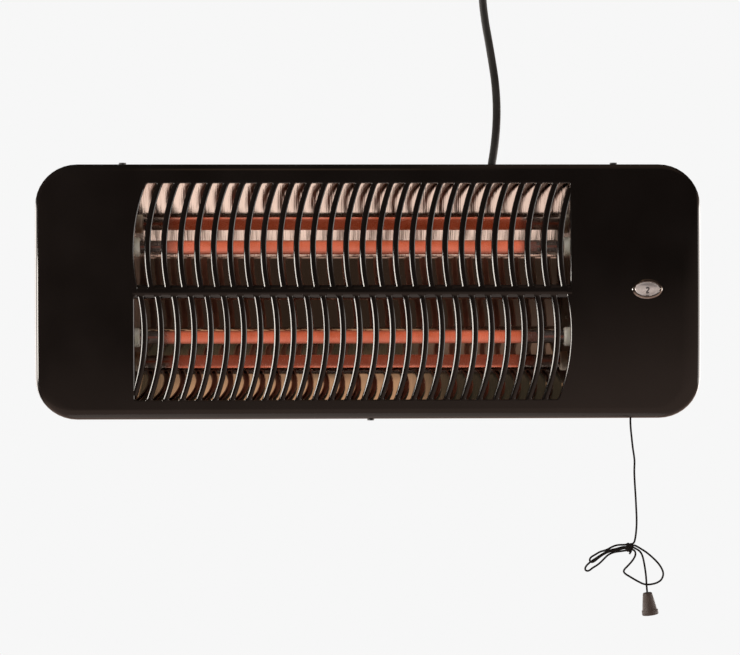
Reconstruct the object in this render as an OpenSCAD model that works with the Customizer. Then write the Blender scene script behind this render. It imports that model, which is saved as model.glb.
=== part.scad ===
// Wall-hung electric bar heater: two quartz tubes behind a slotted front panel,
// hung on a tilting bracket and switched by a pull cord.
// Seen from the front, +X is to the right and +Z is up. The front faces -Y and the
// wall is the plane y = 0. The origin is the middle of the bracket's back face.

/* [Body] */
// Width of the front panel
panel_w = 613; // [560:1:700]
// Height of the front panel
panel_h = 235; // [232:1:300]
// Radius of the front panel's corners
panel_corner_r = 38; // [30:1:50]
// Radius of the soft edge round the front
edge_fillet_r = 9; // [6:0.5:12]
// Radius of the front's upright crown
crown_r = 1380; // [1200:10:2000]
// Thickness of the front panel's sheet
panel_t = 1.5; // [1:0.1:2]
// Depth of the front panel's rim, from the crown's top
rim_depth = 19; // [17:1:24]
// Depth of the body behind the crown's top
body_depth = 68; // [66:1:90]
// Thickness of the rear casing's sheet
casing_t = 1.2; // [0.8:0.1:1.6]
// Gap between the rim and the casing's flange
flange_gap = 0.3; // [0.2:0.1:0.5]

/* [Grille] */
// Distance from slot to slot
slot_pitch = 15.16; // [14.5:0.02:16]
// Clear width of a slot
slot_w = 10.2; // [9:0.1:11]
// Least room beside the windows at each end, about their middle
end_band = 106; // [100:0.5:116]
// Distance of the windows from the body's upper and lower edge
window_margin = 17.95; // [17:0.05:20]
// Width of the bar between the two windows
divider_w = 5.5; // [4:0.5:9]
// Middle of both windows along the body
window_x = -15; // [-25:1:-10]
// Radius of the slats' bow
slat_bow_r = 172; // [150:1:250]
// Height of the bow's foremost point above the middle
slat_bow_z = 38; // [30:1:50]
// Thickness of the slots' turned-in lips
lip_t = 1.1; // [0.8:0.1:1.3]
// Depth of the slots' turned-in lips behind the sheet
lip_depth = 3.5; // [2:0.5:4]

/* [Heating tubes] */
// Outer diameter of a quartz tube
tube_d = 12; // [10:0.5:13]
// Wall of a quartz tube
tube_wall = 1; // [0.8:0.1:1.5]
// Height of the tubes above and below the middle
tube_z = 42; // [40:0.5:44]
// Depth of the tubes' middle behind the front
tube_depth = 28; // [26:0.5:30]
// Outer diameter of the close-wound heating coil
element_d = 9.2; // [7:0.1:9.6]
// Diameter of the coil's wire
element_wire = 0.7; // [0.5:0.1:1]
// Outer diameter of a ceramic cap's flange
cap_d = 18; // [16:0.5:20]
// Diameter of a ceramic cap's neck in the end plate
cap_neck_d = 14; // [13.5:0.1:15]
// Length of a cap's flange on each side of the end plate
cap_flange_l = 7; // [5:0.5:8]

/* [Reflector] */
// Thickness of the reflector's sheet
reflector_t = 0.8; // [0.5:0.1:1]
// Distance of the reflector's outer edges beyond the windows
reflector_edge_out = 1.45; // [1:0.05:2.5]
// Height of the reflector's outer walls, from their edge to the fold
reflector_wall_h = 67; // [64:0.5:69]
// Room between the reflectors' front side and the casing's inner side for the wires
channel_room = 8.8; // [8:0.2:12]
// Radius of the reflector's fold
reflector_fold_r = 7; // [4:0.5:9]
// Distance of the end plates beyond the windows
end_plate_out = 3.5; // [3:0.5:6]

/* [Wall bracket] */
// Gap between the wall and the rear casing
wall_gap = 46; // [46:1:60]
// Width of the bracket, over its ears
bracket_w = 222; // [160:1:300]
// Height of the bracket's plate
bracket_h = 50; // [40:1:60]
// Thickness of the bracket's and the lugs' steel
bracket_t = 2; // [1.5:0.5:3]
// Distance of the wall screws across
screw_span_x = 160; // [100:1:180]
// Distance of the wall screws up and down
screw_span_z = 30; // [20:1:36]
// Diameter of the wall screw holes
screw_hole_d = 5.5; // [4:0.5:6]
// Diameter of the pivot bolts
pivot_d = 6; // [5:0.5:8]
// Distance of the tilting axis from the casing's back
pivot_off = 12; // [11.5:0.5:16]
// Radius of the ears' and the lugs' round ends
ear_r = 10; // [8:0.5:11]

/* [Pull switch] */
// Distance of the pull cord from the body's right end
cord_inset = 60; // [58:0.5:64]
// Depth of the pull cord behind the front
cord_depth = 42; // [40:0.5:46]
// Diameter of the pull cord
cord_d = 1.8; // [1.5:0.1:2.2]
// Diameter of the pull rod
rod_d = 4; // [3:0.1:4.6]
// Travel of the pull rod
pull_travel = 12; // [8:1:12]
// Distance of the indicator window's middle from the pull cord, across
eye_offset = 9.4; // [8.5:0.1:10.5]
// Width of the indicator window's bezel
bezel_w = 28.4; // [26:0.2:30]
// Height of the indicator window's bezel
bezel_h = 18.4; // [17:0.2:20]
// Radius of the indicator drum
drum_r = 14; // [12:0.5:14.5]
// Teeth on the drum's ratchet
ratchet_teeth = 6; // [6:1:12]

/* [Mains lead] */
// Diameter of the mains lead
lead_d = 7.2; // [6.5:0.1:7.8]
// Turns of the lead's coil that wind in
coil_turns_in = 3; // [2:1:4]
// Turns of the lead's coil that wind out again
coil_turns_out = 3.25; // [2.25:1:4.25]
// Diameter of the plug's body
plug_d = 37; // [34:0.5:40]

/* [Hidden] */

// Fineness of curves and a cut's overshoot
$fn = 48;
eps = 1;
// Clearance between pieces that lie close without touching
gap = 0.3;
// Radial clearance of a turning or sliding fit
running = 0.05;

// Main planes along Y
front_y = -(wall_gap + body_depth);
back_y = -wall_gap;
rim_back_y = front_y + rim_depth;
pivot_y = back_y + pivot_off;
crown_y = front_y + crown_r;

// The casing's profile: depth behind the front and half height at each fold
flange_half = panel_h / 2 - panel_t - flange_gap;
shoulder_drop = 25.2;
back_drop = 45.2;
flange_depth0 = rim_depth - 6;
flange_depth1 = rim_depth + 5;
shoulder_depth0 = rim_depth + 15;
shoulder_depth1 = body_depth - 12;
shoulder_z = flange_half - shoulder_drop;
casing_in_y = back_y - casing_t;

// Windows: as many full slots as the body has room for, and a part of one at the end
part_slot_w = 6.4;
slot_count = floor((panel_w - 2 * end_band - part_slot_w) / slot_pitch);
window_w = slot_count * slot_pitch + part_slot_w;
window_x0 = window_x - window_w / 2;
window_x1 = window_x + window_w / 2;
window_z0 = divider_w / 2;
window_h = panel_h / 2 - window_z0 - window_margin;
window_z1 = window_z0 + window_h;
// The slats' foremost point lies a little inside the window's side
slat_x0 = window_x0 - 0.3;

// Reflector and tubes
tube_y = front_y + tube_depth;
end_plate_t = 1;
end_left_x = window_x0 - end_plate_out;
end_right_x = window_x1 + end_plate_out;
reflector_edge_depth = 10.5;
reflector_fold_depth = body_depth - casing_t - channel_room;
reflector_outer_z = window_z1 + reflector_edge_out;
reflector_fold_z = reflector_outer_z - reflector_wall_h;
reflector_flange_h = 3;

// Middle of the wires' channel between the reflectors and the casing's back
channel_y = (front_y + reflector_fold_depth + reflector_t + casing_in_y) / 2;

// Pull switch
cord_x = panel_w / 2 - cord_inset;
cord_y = front_y + cord_depth;
window_eye_x = cord_x + eye_offset;
drum_y = front_y + 22;
drum_z = 1.7;
cheek_t = 2;
cheek_left_x = cord_x - 9.5;
cheek_right_x = window_eye_x + 11;
housing_mid_x = (cheek_left_x + cheek_right_x + cheek_t) / 2;
housing_h = 70;
housing_d = 36;
housing_screw_z = 24;
rod_top_z = 50;
rod_bottom_z = pull_travel + 6.5 - shoulder_z;
collar_r = 5;
collar_t = 3;
spring_floor_z = -housing_h / 2 + cheek_t;
collar_z = spring_floor_z + pull_travel + 13;
spring_wire = 0.9;
spring_r = 4;
spring_turns = 7;
ratchet_t = 3;
ratchet_r = 11;
ratchet_x = cheek_left_x + cheek_t + 1;
axle_r = 2;
eyelet_r = 5.5;
eyelet_bore_r = cord_d / 2 + 0.5;
eyelet_flange_t = 1.2;
cord_exit_z = -(shoulder_z + eyelet_flange_t + 1);

// Mains lead's gland, on the casing's upper shoulder
gland_x = panel_w / 2 - 190.2;
gland_y = front_y + 45;
gland_r = 8;
gland_h = 7;
relief_h = 27.6 - gland_h;
relief_r0 = 5.6;
relief_r1 = lead_d / 2 + 0.7;
lead_start_z = shoulder_z + gland_h + relief_h;

// Route of the mains lead from the strain relief to its coil, on the wall above
lead_line = [
  [0, 0, 0], [0, 0, 4], [0, 0, 8], [1.8, 2.5, 20], [3.6, 8, 35], [5, 17, 51], [5.8, 29, 68],
  [5.9, 41, 86],
  [5, 50, 104], [3, 57, 124], [0, 61.5, 144], [-2.5, 63.5, 164], [-3.5, 64, 184],
  [-3.5, 64, 205], [-3.5, 64, 226]
];
// Where the lead's middle lies when it rests on the wall
lead_wall_y = -lead_d / 2 - 1.4;
lead_route = [for (p = lead_line) [p[0], p[1] * (lead_wall_y - gland_y) / 64, p[2]]];
lead_start = [gland_x, gland_y, lead_start_z + 0.02];
lead_end = lead_route[len(lead_route) - 1] + lead_start;

// The coil: two layers against the wall, wound in and out again
coil_pitch = lead_d + 0.5;
coil_r_in = 29.5;
coil_r_out = coil_r_in + coil_turns_in * coil_pitch;
coil_cx = lead_end[0] - coil_r_out;
coil_cz = lead_end[2] + lead_d;
coil_y = lead_end[1];
coil_rings = 24;
// Where the coil's outer end lies, and the direction in which it runs
coil_r_end = coil_r_in + coil_turns_out * coil_pitch;
coil_end = [coil_cx - lead_d, coil_y - coil_pitch, coil_cz + coil_r_end];
plug_axis_y = -plug_d / 2 - gap;
tail_dy = plug_axis_y - coil_end[1];
tail_route = [
  [0, 0, 0], [-8, 0, 0], [-18, 0.2 * tail_dy, -0.5], [-28, 0.55 * tail_dy, -1.5],
  [-38, 0.85 * tail_dy, -2], [-48, tail_dy, -2], [-56, tail_dy, -2]
];
plug_at = tail_route[len(tail_route) - 1] + coil_end;

// Route of the pull cord, from the eyelet to the knot
cord_route = [
  [0, 0, 0], [0, 0, -10], [0.1, 0, -19], [1.1, 0, -27], [2.1, 0, -35.5], [2.4, 0, -42.5],
  [3.7, 0, -50.5], [3.6, 0, -58], [4.1, 0, -65], [4.3, 0, -73.5], [4.8, 0, -80.5],
  [5.1, 0, -88.5], [5.1, 0, -96], [5.5, 0, -103], [5.8, 0, -111.5], [5.1, 0, -118.5],
  [3.5, 0, -126.5], [1.2, 0, -135], [-0.2, 0, -141.8]
];
knot_at = [cord_x - 0.6, cord_y, cord_exit_z - 146];
// The bow's loops, from the knot's middle
loop_upper = [
  [-3.6, -1.3, 2.8], [-6, -1.4, 2.8], [-11, -1.5, 2.6], [-16, -1.5, 1], [-21.5, -1.5, -2],
  [-27.5, -1.5, -3.6], [-32, -1.5, -7], [-36.2, -1.5, -10.4], [-36.6, -1.5, -12.2],
  [-34.4, -1.5, -12.4], [-29, -1.5, -9.4], [-24, -1.5, -6], [-18.5, -1.5, -3.6],
  [-11, -1.5, -2], [-6, -1.5, -0.8], [-3.6, -1.4, -0.4]
];
loop_lower = [
  [-3.6, 1.3, -3], [-6, 1.5, -3.4], [-13.5, 1.5, -4.4], [-19.5, 1.5, -7], [-24, 1.5, -11.4],
  [-29, 1.5, -16], [-34, 1.5, -19], [-38.6, 1.5, -21.6], [-40.4, 1.5, -20.8],
  [-39.6, 1.5, -17.6], [-35.5, 1.5, -13], [-31, 1.5, -10], [-25, 1.5, -6.2],
  [-18.5, 1.5, -2.8], [-11, 1.5, -1], [-6, 1.5, 0.4], [-3.6, 1.4, 0.6]
];
loop_right = [
  [3.6, -1.5, 2.6], [5.6, -1.5, 2], [9, -1.5, 0], [17, -1.5, -5.6], [26, -1.5, -14.6],
  [30.4, -1.5, -22.6], [30, -1.5, -28], [27.4, -1.5, -31.6], [22, -1.5, -34], [14.6, -1.5, -34.6],
  [8.5, -1.5, -32], [1, -1.5, -27.4], [-4.4, -1.5, -23.8], [-5.2, -1.5, -21.4],
  [-2, -1.5, -17.8], [2.4, -1.5, -12.8], [5.6, -1.5, -7.4], [5.6, -1.5, -4], [3.8, -1.5, -1.6]
];
drop_route = [
  [3.6, 1.4, 0.4], [5.2, 1.5, -0.8], [9.2, 1.5, -3.4], [11.6, 1.5, -8], [13.4, 1.5, -17.4],
  [14.6, 1.5, -27.6], [15, 1.5, -35.5], [15.3, 1.5, -39.6], [15.6, 1.5, -42.6]
];
knot_r = 3.2;
knot_h = 8;
knob_tilt = 8;
knob_h = 21;
knob_r_top = 4;
knob_r_bottom = 7;
knob_rim_h = 4.5;

metal_black = [0.09, 0.08, 0.075];

function unit(v) = v / norm(v);
function flat(rows) = [for (row = rows) for (item = row) item];
function moved(points, by) = [for (p = points) p + by];

// A point on the smooth curve through four points, a share t of the way along the middle pair
function through(a, b, c, d, t) =
  0.5 * (2 * b + (c - a) * t + (2 * a - 5 * b + 4 * c - d) * t * t
    + (3 * b - a - 3 * c + d) * t * t * t);

// The smooth curve through a list of points, with n steps between each two
function smooth(p, n) = concat(
  [for (i = [0:len(p) - 2]) for (j = [0:n - 1])
    through(p[max(i - 1, 0)], p[i], p[i + 1], p[min(i + 2, len(p) - 1)], j / n)],
  [p[len(p) - 1]]
);

// The curve's direction at point i
function heading(p, i) = unit(p[min(i + 1, len(p) - 1)] - p[max(i - 1, 0)]);

// A ring of points round the curve at point i; side is never along the curve
function ring(p, i, r, sides, side) =
  let (t = heading(p, i), n = unit(cross(side, t)), b = cross(t, n))
  [for (k = [0:sides - 1]) p[i] + r * (cos(360 * k / sides) * n + sin(360 * k / sides) * b)];

// A closed tube swept along a list of points
module tube(path, d, sides, side = [0, 1, 0]) {
  rings = len(path);
  points = flat([for (i = [0:rings - 1]) ring(path, i, d / 2, sides, side)]);
  walls = [for (i = [0:rings - 2]) for (k = [0:sides - 1])
    let (a = i * sides + k, b = i * sides + (k + 1) % sides)
    each [[a, a + sides, b], [b, a + sides, b + sides]]];
  last = (rings - 1) * sides;
  caps = [for (k = [1:sides - 2]) each [[0, k, k + 1], [last, last + k + 1, last + k]]];
  polyhedron(points = points, faces = concat(walls, caps), convexity = 8);
}

// A rounded rectangle, centred
module rounded_rect(w, h, r) {
  square([w - 2 * r, h], center = true);
  square([w, h - 2 * r], center = true);
  for (x = [-1, 1], y = [-1, 1])
    translate([x * (w / 2 - r), y * (h / 2 - r)]) circle(r);
}

// An oval, as a closed outline
module oval(w, h) {
  polygon([for (k = [0:47]) [w / 2 * cos(7.5 * k), h / 2 * sin(7.5 * k)]]);
}

// The section of a plate's soft edge: length across, height, and fillet at the top outer corner
module edge_section(length, depth, f) {
  square([length, depth - f]);
  square([length - f, depth]);
  translate([length - f, depth - f]) circle(f);
}

// A plate with round corners and a soft edge round its front, lying on z = 0
module soft_plate(w, h, r, f, depth) {
  translate([-w / 2 + r, -h / 2 + r, 0]) cube([w - 2 * r, h - 2 * r, depth]);
  for (s = [0, 1]) mirror([s, 0, 0]) {
    translate([w / 2 - r, h / 2 - r, 0]) rotate([90, 0, 0])
      linear_extrude(h - 2 * r) edge_section(r, depth, f);
    for (v = [0, 1]) mirror([0, v, 0])
      translate([w / 2 - r, h / 2 - r, 0]) rotate_extrude(angle = 90) edge_section(r, depth, f);
  }
  for (v = [0, 1]) mirror([0, v, 0])
    translate([-w / 2 + r, h / 2 - r, 0]) rotate([90, 0, 90])
      linear_extrude(w - 2 * r) edge_section(r, depth, f);
}

// Turns a piece drawn flat, with z towards the viewer, so that it faces the front
module facing_front(y = 0) {
  translate([0, y, 0]) rotate([90, 0, 0]) children();
}

// A cylinder along X, and one along Y towards the wall
module along_x(r, length) {
  rotate([0, 90, 0]) cylinder(r = r, h = length);
}
module along_y(r, length) {
  rotate([-90, 0, 0]) cylinder(r = r, h = length);
}

// An outline in (y, z) drawn out along X
module section_x(length, points) {
  rotate([90, 0, 90]) linear_extrude(length) polygon(points);
}

// Everything behind the crowned front, less a depth
module behind_crown(depth = 0) {
  translate([-panel_w, crown_y, 0]) along_x(crown_r - depth, 2 * panel_w);
}

// One slot's outline, grown all round by a lip
module slot_outline(i, lip) {
  x = slat_x0 + i * slot_pitch;
  right = min(x + slot_w + 14, window_x1);
  intersection() {
    translate([x - lip - 1, window_z0 - lip])
      square([right - x + 1 + 2 * lip, window_h + 2 * lip]);
    difference() {
      translate([x + slat_bow_r, slat_bow_z]) circle(slat_bow_r + lip);
      translate([x + slot_w + slat_bow_r, slat_bow_z]) circle(slat_bow_r - lip);
    }
  }
}

// The upper window's slots as upright prisms, and the lower's, turned half a turn
module slots(lip) {
  for (turned = [0, 180])
    translate([window_x, 0, 0]) rotate([0, turned, 0]) translate([-window_x, 0, 0])
      for (i = [0:slot_count])
        translate([0, front_y + rim_depth - eps, 0]) rotate([90, 0, 0])
          linear_extrude(rim_depth) slot_outline(i, lip);
}

module front_panel() {
  color(metal_black) difference() {
    union() {
      difference() {
        intersection() {
          facing_front(rim_back_y)
            soft_plate(panel_w, panel_h, panel_corner_r, edge_fillet_r, rim_depth);
          behind_crown();
        }
        intersection() {
          facing_front(rim_back_y + eps)
            soft_plate(panel_w - 2 * panel_t, panel_h - 2 * panel_t, panel_corner_r - panel_t,
              edge_fillet_r - panel_t, rim_depth + eps - panel_t);
          behind_crown(panel_t);
        }
      }
      intersection() {
        slots(lip_t);
        difference() {
          behind_crown(panel_t / 2);
          behind_crown(panel_t + lip_depth);
        }
      }
    }
    slots(0);
    translate([window_eye_x, rim_back_y, drum_z]) rotate([90, 0, 0])
      linear_extrude(rim_depth + eps) oval(bezel_w - 3, bezel_h - 3);
    casing_screw_places() cylinder(r = 2.1, h = 20, center = true);
  }
}

// Places the children at the rim screws: two above, one below, axis along Z
module casing_screw_places() {
  for (s = [-1, 1])
    translate([s * (panel_w / 2 - 79.5), front_y + rim_depth - 3, panel_h / 2]) children();
  translate([1.5, front_y + rim_depth - 3, -panel_h / 2]) rotate([180, 0, 0]) children();
}

// The casing's upright profile, drawn in by t on every side
function casing_side(t) = [
  [flange_depth0 - (t > 0 ? eps : 0), flange_half - t],
  [flange_depth1 - 0.2 * t, flange_half - t],
  [shoulder_depth0 - 0.2 * t, shoulder_z - t],
  [shoulder_depth1 - 0.5 * t, shoulder_z - t],
  [body_depth - t, flange_half - back_drop - t]
];

// The casing's profile seen from above
function casing_plan(t) = [
  [flange_depth0 - (t > 0 ? eps : 0), panel_w / 2 - panel_t - flange_gap - t],
  [flange_depth1 - 0.2 * t, panel_w / 2 - panel_t - flange_gap - t],
  [shoulder_depth0 - 0.2 * t, panel_w / 2 - 20 - t],
  [shoulder_depth1 - 0.5 * t, panel_w / 2 - 20 - t],
  [body_depth - t, panel_w / 2 - 30 - t]
];

// Both halves of a profile given as depth and half width, as an outline with y first
function both_halves(half) = concat(
  [for (p = half) [front_y + p[0], p[1]]],
  [for (i = [len(half) - 1:-1:0]) [front_y + half[i][0], -half[i][1]]]
);

module casing_form(t) {
  intersection() {
    facing_front(back_y + eps) linear_extrude(body_depth)
      rounded_rect(panel_w - 2 * (panel_t + flange_gap + t), 2 * (flange_half - t),
        panel_corner_r - panel_t - flange_gap - t);
    translate([-panel_w / 2, 0, 0]) section_x(panel_w, both_halves(casing_side(t)));
    translate([0, 0, -panel_h / 2]) linear_extrude(panel_h)
      polygon([for (p = both_halves(casing_plan(t))) [p[1], p[0]]]);
  }
}

module rear_casing() {
  louvre_count = 9;
  louvre_step = 40;
  color(metal_black) difference() {
    casing_form(0);
    casing_form(casing_t);
    // vent slots through the back
    for (i = [0:louvre_count - 1], z = [-54, 54])
      translate([(i - (louvre_count - 1) / 2) * louvre_step - 14, back_y - 2 * casing_t, z - 2])
        cube([28, 4 * casing_t, 4]);
    // vent slots through the upper and lower shoulders
    for (i = [0:louvre_count - 1], s = [-1, 1])
      translate([(i - (louvre_count - 1) / 2) * 26 - 100, gland_y, s * shoulder_z])
        cube([16, 5, 4 * casing_t], center = true);
    translate([gland_x, gland_y, shoulder_z]) cylinder(r = gland_r - 1.8, h = 10, center = true);
    translate([cord_x, cord_y, -shoulder_z])
      cylinder(r = eyelet_r - 1.5, h = 10, center = true);
    casing_screw_places() cylinder(r = 2, h = 20, center = true);
    rivet_places() along_y(1.65, 10);
    clamp_screw_places() cylinder(r = 1.6, h = 10, center = true);
    for (z = [-1, 1]) translate([housing_mid_x, back_y - 5, z * housing_screw_z]) along_y(1.6, 10);
  }
}

module casing_screws() {
  color([0.12, 0.12, 0.12]) casing_screw_places() {
    cylinder(r = 3.4, h = 1.5);
    translate([0, 0, -9]) cylinder(r = 1.75, h = 9 + 0.5);
    // spring nut that lies against the flange's inner face
    translate([0, 0, -panel_t - flange_gap - casing_t - 1.2]) difference() {
      translate([-5, -4, 0]) cube([10, 6, 1.2]);
      translate([0, 0, -1]) cylinder(r = 1.7, h = 4);
    }
  }
}

// The bend at the reflector's fold, as points on an arc between the two walls
function fold_arc(a, v, b, r, n) =
  let (u = unit(a - v), w = unit(b - v), half = acos(u * w) / 2,
    mid = v + unit(u + w) * r / sin(half),
    s = v + u * r / tan(half) - mid, e = v + w * r / tan(half) - mid)
  [for (k = [0:n]) mid + r * unit(s * (1 - k / n) + e * k / n)];

// A sheet of thickness t along a list of points, to the left of its run
function sheet(p, t) =
  let (n = len(p),
    side = [for (i = [0:n - 1])
      let (a = i > 0 ? unit(p[i] - p[i - 1]) : unit(p[1] - p[0]),
        b = i < n - 1 ? unit(p[i + 1] - p[i]) : a, m = unit(a + b))
      [-m[1], m[0]] / (m * b)])
  concat(p, [for (i = [n - 1:-1:0]) p[i] + t * side[i]]);

reflector_outer = [front_y + reflector_edge_depth, reflector_outer_z];
reflector_fold = [front_y + reflector_fold_depth, reflector_fold_z];
reflector_middle = [front_y + reflector_fold_depth, gap / 2];
reflector_line = concat(
  [reflector_outer + [0, reflector_flange_h], reflector_outer],
  fold_arc(reflector_outer, reflector_fold, reflector_middle, reflector_fold_r, 6),
  [reflector_middle]
);

module reflector_upper() {
  color([0.86, 0.85, 0.83]) translate([end_left_x, 0, 0])
    section_x(end_right_x - end_left_x, sheet(reflector_line, reflector_t));
}

module reflector_lower() {
  mirror([0, 0, 1]) reflector_upper();
}

// An end plate's outline follows the troughs, with a foot on the casing's back
end_plate_top_z = reflector_outer_z + reflector_flange_h + 0.4;
end_plate_half = [
  [front_y + reflector_edge_depth, end_plate_top_z],
  [front_y + reflector_edge_depth + 5, end_plate_top_z],
  [front_y + reflector_fold_depth + 2, reflector_fold_z + 10],
  [casing_in_y, reflector_fold_z + 10]
];

module end_plate(x) {
  color([0.8, 0.8, 0.79]) difference() {
    translate([x, 0, 0]) section_x(end_plate_t,
      concat(end_plate_half, [for (i = [3:-1:0]) [end_plate_half[i][0], -end_plate_half[i][1]]]));
    for (z = [-tube_z, tube_z]) {
      translate([x - eps, tube_y, z]) along_x(cap_neck_d / 2 + running, end_plate_t + 2 * eps);
      translate([x - eps, front_y, z - cap_neck_d / 2 - running])
        cube([end_plate_t + 2 * eps, tube_depth, cap_neck_d + 2 * running]);
    }
    translate([x - eps, channel_y, 0]) along_x(3, end_plate_t + 2 * eps);
    if (x > 0) translate([x - eps, cutout_y, cutout_z]) along_x(1.5, end_plate_t + 2 * eps);
  }
}

module end_plate_left() {
  end_plate(end_left_x - end_plate_t);
}

module end_plate_right() {
  end_plate(end_right_x);
}

tube_x0 = end_left_x + 1;
tube_x1 = end_right_x - 1;

module quartz_tube(z) {
  color([0.85, 0.8, 0.75, 0.4]) translate([tube_x0, tube_y, z]) difference() {
    along_x(tube_d / 2, tube_x1 - tube_x0);
    translate([-eps, 0, 0]) along_x(tube_d / 2 - tube_wall, tube_x1 - tube_x0 + 2 * eps);
  }
}

module quartz_tube_upper() {
  quartz_tube(tube_z);
}

module quartz_tube_lower() {
  quartz_tube(-tube_z);
}

// The wound element with its two straight leads, which end at the caps' studs
coil_margin = 30;
module heating_coil(z) {
  color([1, 0.45, 0.15]) translate([tube_x0, tube_y, z]) {
    translate([coil_margin, 0, 0]) difference() {
      along_x(element_d / 2, tube_x1 - tube_x0 - 2 * coil_margin);
      translate([3, 0, 0])
        along_x(element_d / 2 - element_wire, tube_x1 - tube_x0 - 2 * coil_margin - 6);
    }
    along_x(1, coil_margin);
    translate([tube_x1 - tube_x0 - coil_margin, 0, 0]) along_x(1, coil_margin);
    // ceramic spacer discs that centre the element in its tube
    for (x = [coil_margin - 3, tube_x1 - tube_x0 - coil_margin])
      translate([x, 0, 0]) along_x(tube_d / 2 - tube_wall - 0.05, 3);
  }
}

module heating_coil_upper() {
  heating_coil(tube_z);
}

module heating_coil_lower() {
  heating_coil(-tube_z);
}

// A ceramic cap whose inner flange points along +X, with its end plate's inner face at x = 0
module ceramic_cap() {
  r = cap_d / 2;
  bore = tube_d / 2 + running;
  color([0.93, 0.9, 0.82]) rotate([0, 90, 0]) rotate_extrude() polygon([
    [bore, 1], [bore, cap_flange_l], [r - 1.5, cap_flange_l], [r, cap_flange_l - 1.5], [r, 0],
    [cap_neck_d / 2, 0], [cap_neck_d / 2, -end_plate_t], [r, -end_plate_t],
    [r, -end_plate_t - cap_flange_l + 1.5], [r - 1.5, -end_plate_t - cap_flange_l],
    [stud_r + running, -end_plate_t - cap_flange_l], [stud_r + running, 1]
  ]);
}
stud_r = 2;

module ceramic_caps_left() {
  for (z = [-tube_z, tube_z]) translate([end_left_x, tube_y, z]) ceramic_cap();
}

module ceramic_caps_right() {
  for (z = [-tube_z, tube_z]) translate([end_right_x, tube_y, z]) mirror([1, 0, 0]) ceramic_cap();
}

// A stud through the cap, with its nut outside
module terminal_stud() {
  color([0.78, 0.68, 0.4]) {
    translate([-end_plate_t - cap_flange_l - 8, 0, 0])
      along_x(stud_r, 8 + cap_flange_l + end_plate_t + 1);
    translate([-end_plate_t - cap_flange_l - 3.2, 0, 0]) rotate([0, 90, 0])
      cylinder(r = 4, h = 3.2, $fn = 6);
  }
}

module terminal_studs() {
  for (z = [-tube_z, tube_z]) {
    translate([end_left_x, tube_y, z]) terminal_stud();
    translate([end_right_x, tube_y, z]) mirror([1, 0, 0]) terminal_stud();
  }
}

// The bracket: a plate on the wall with two ears, which stand out to the pivot
ear_in_x = bracket_w / 2 - bracket_t;

module wall_bracket() {
  color([0.16, 0.16, 0.16]) difference() {
    union() {
      translate([-bracket_w / 2, -bracket_t, -bracket_h / 2])
        cube([bracket_w, bracket_t, bracket_h]);
      for (s = [0, 1]) mirror([s, 0, 0]) {
        translate([ear_in_x, pivot_y, 0]) along_x(ear_r, bracket_t);
        section_ear();
      }
    }
    for (s = [0, 1]) mirror([s, 0, 0]) translate([ear_in_x - eps, pivot_y, 0])
      along_x(pivot_d / 2 + running, bracket_t + 2 * eps);
    for (x = [-1, 1], z = [-1, 1])
      translate([x * screw_span_x / 2, -bracket_t - eps, z * screw_span_z / 2])
        along_y(screw_hole_d / 2, bracket_t + 2 * eps);
  }
}

// An ear's side: as wide as the plate at the wall, as wide as its round end at the pivot
module section_ear() {
  translate([ear_in_x, 0, 0]) section_x(bracket_t, [
    [0, bracket_h / 2], [-6, bracket_h / 2], [pivot_y, ear_r], [pivot_y, -ear_r],
    [-6, -bracket_h / 2], [0, -bracket_h / 2]
  ]);
}

// The lugs stand on the casing's back, inside the ears
lug_foot_w = 26;
module hinge_lugs() {
  color([0.16, 0.16, 0.16]) for (s = [0, 1]) mirror([s, 0, 0]) difference() {
    union() {
      translate([ear_in_x - lug_foot_w, back_y, -14]) cube([lug_foot_w, bracket_t, 28]);
      translate([ear_in_x - bracket_t, back_y, -ear_r]) cube([bracket_t, pivot_off, 2 * ear_r]);
      translate([ear_in_x - bracket_t, pivot_y, 0]) along_x(ear_r, bracket_t);
    }
    translate([ear_in_x - bracket_t - eps, pivot_y, 0])
      along_x(pivot_d / 2 + gap, bracket_t + 2 * eps);
    for (z = [-8, 8]) translate([ear_in_x - lug_foot_w + 8, back_y - eps, z]) along_y(1.65, 5);
  }
}

// Places the children at the lugs' rivets, on the casing's back
module rivet_places() {
  for (s = [-1, 1], z = [-8, 8])
    translate([s * (ear_in_x - lug_foot_w + 8), back_y - 5, z]) children();
}

module lug_rivets() {
  color([0.6, 0.6, 0.6]) rivet_places() {
    translate([0, 5 - casing_t - 1, 0]) along_y(3, 1);
    translate([0, 5 - casing_t - 0.5, 0]) along_y(1.6, casing_t + bracket_t + 1);
    translate([0, 5 + bracket_t, 0]) along_y(3, 1.2);
  }
}

washer_t = 1.2;
head_h = 4;
nut_h = 5;

module pivot_bolts() {
  color([0.7, 0.7, 0.7]) for (s = [0, 1]) mirror([s, 0, 0]) translate([0, pivot_y, 0]) {
    translate([bracket_w / 2 + washer_t, 0, 0]) rotate([0, 90, 0])
      cylinder(r = 5.6, h = head_h, $fn = 6);
    translate([ear_in_x - bracket_t - nut_h - 2, 0, 0])
      along_x(pivot_d / 2, 2 * bracket_t + nut_h + 2 + washer_t + 0.5);
  }
}

module pivot_nuts() {
  color([0.7, 0.7, 0.7]) for (s = [0, 1]) mirror([s, 0, 0])
    translate([ear_in_x - bracket_t - nut_h, pivot_y, 0]) difference() {
      rotate([0, 90, 0]) cylinder(r = 5.6, h = nut_h, $fn = 6);
      translate([-eps, 0, 0]) along_x(pivot_d / 2 + running, nut_h + 2 * eps);
    }
}

module pivot_washers() {
  color([0.3, 0.3, 0.3]) for (s = [0, 1]) mirror([s, 0, 0])
    translate([bracket_w / 2, pivot_y, 0]) difference() {
      along_x(8, washer_t);
      translate([-eps, 0, 0]) along_x(pivot_d / 2 + running, washer_t + 2 * eps);
    }
}

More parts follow.
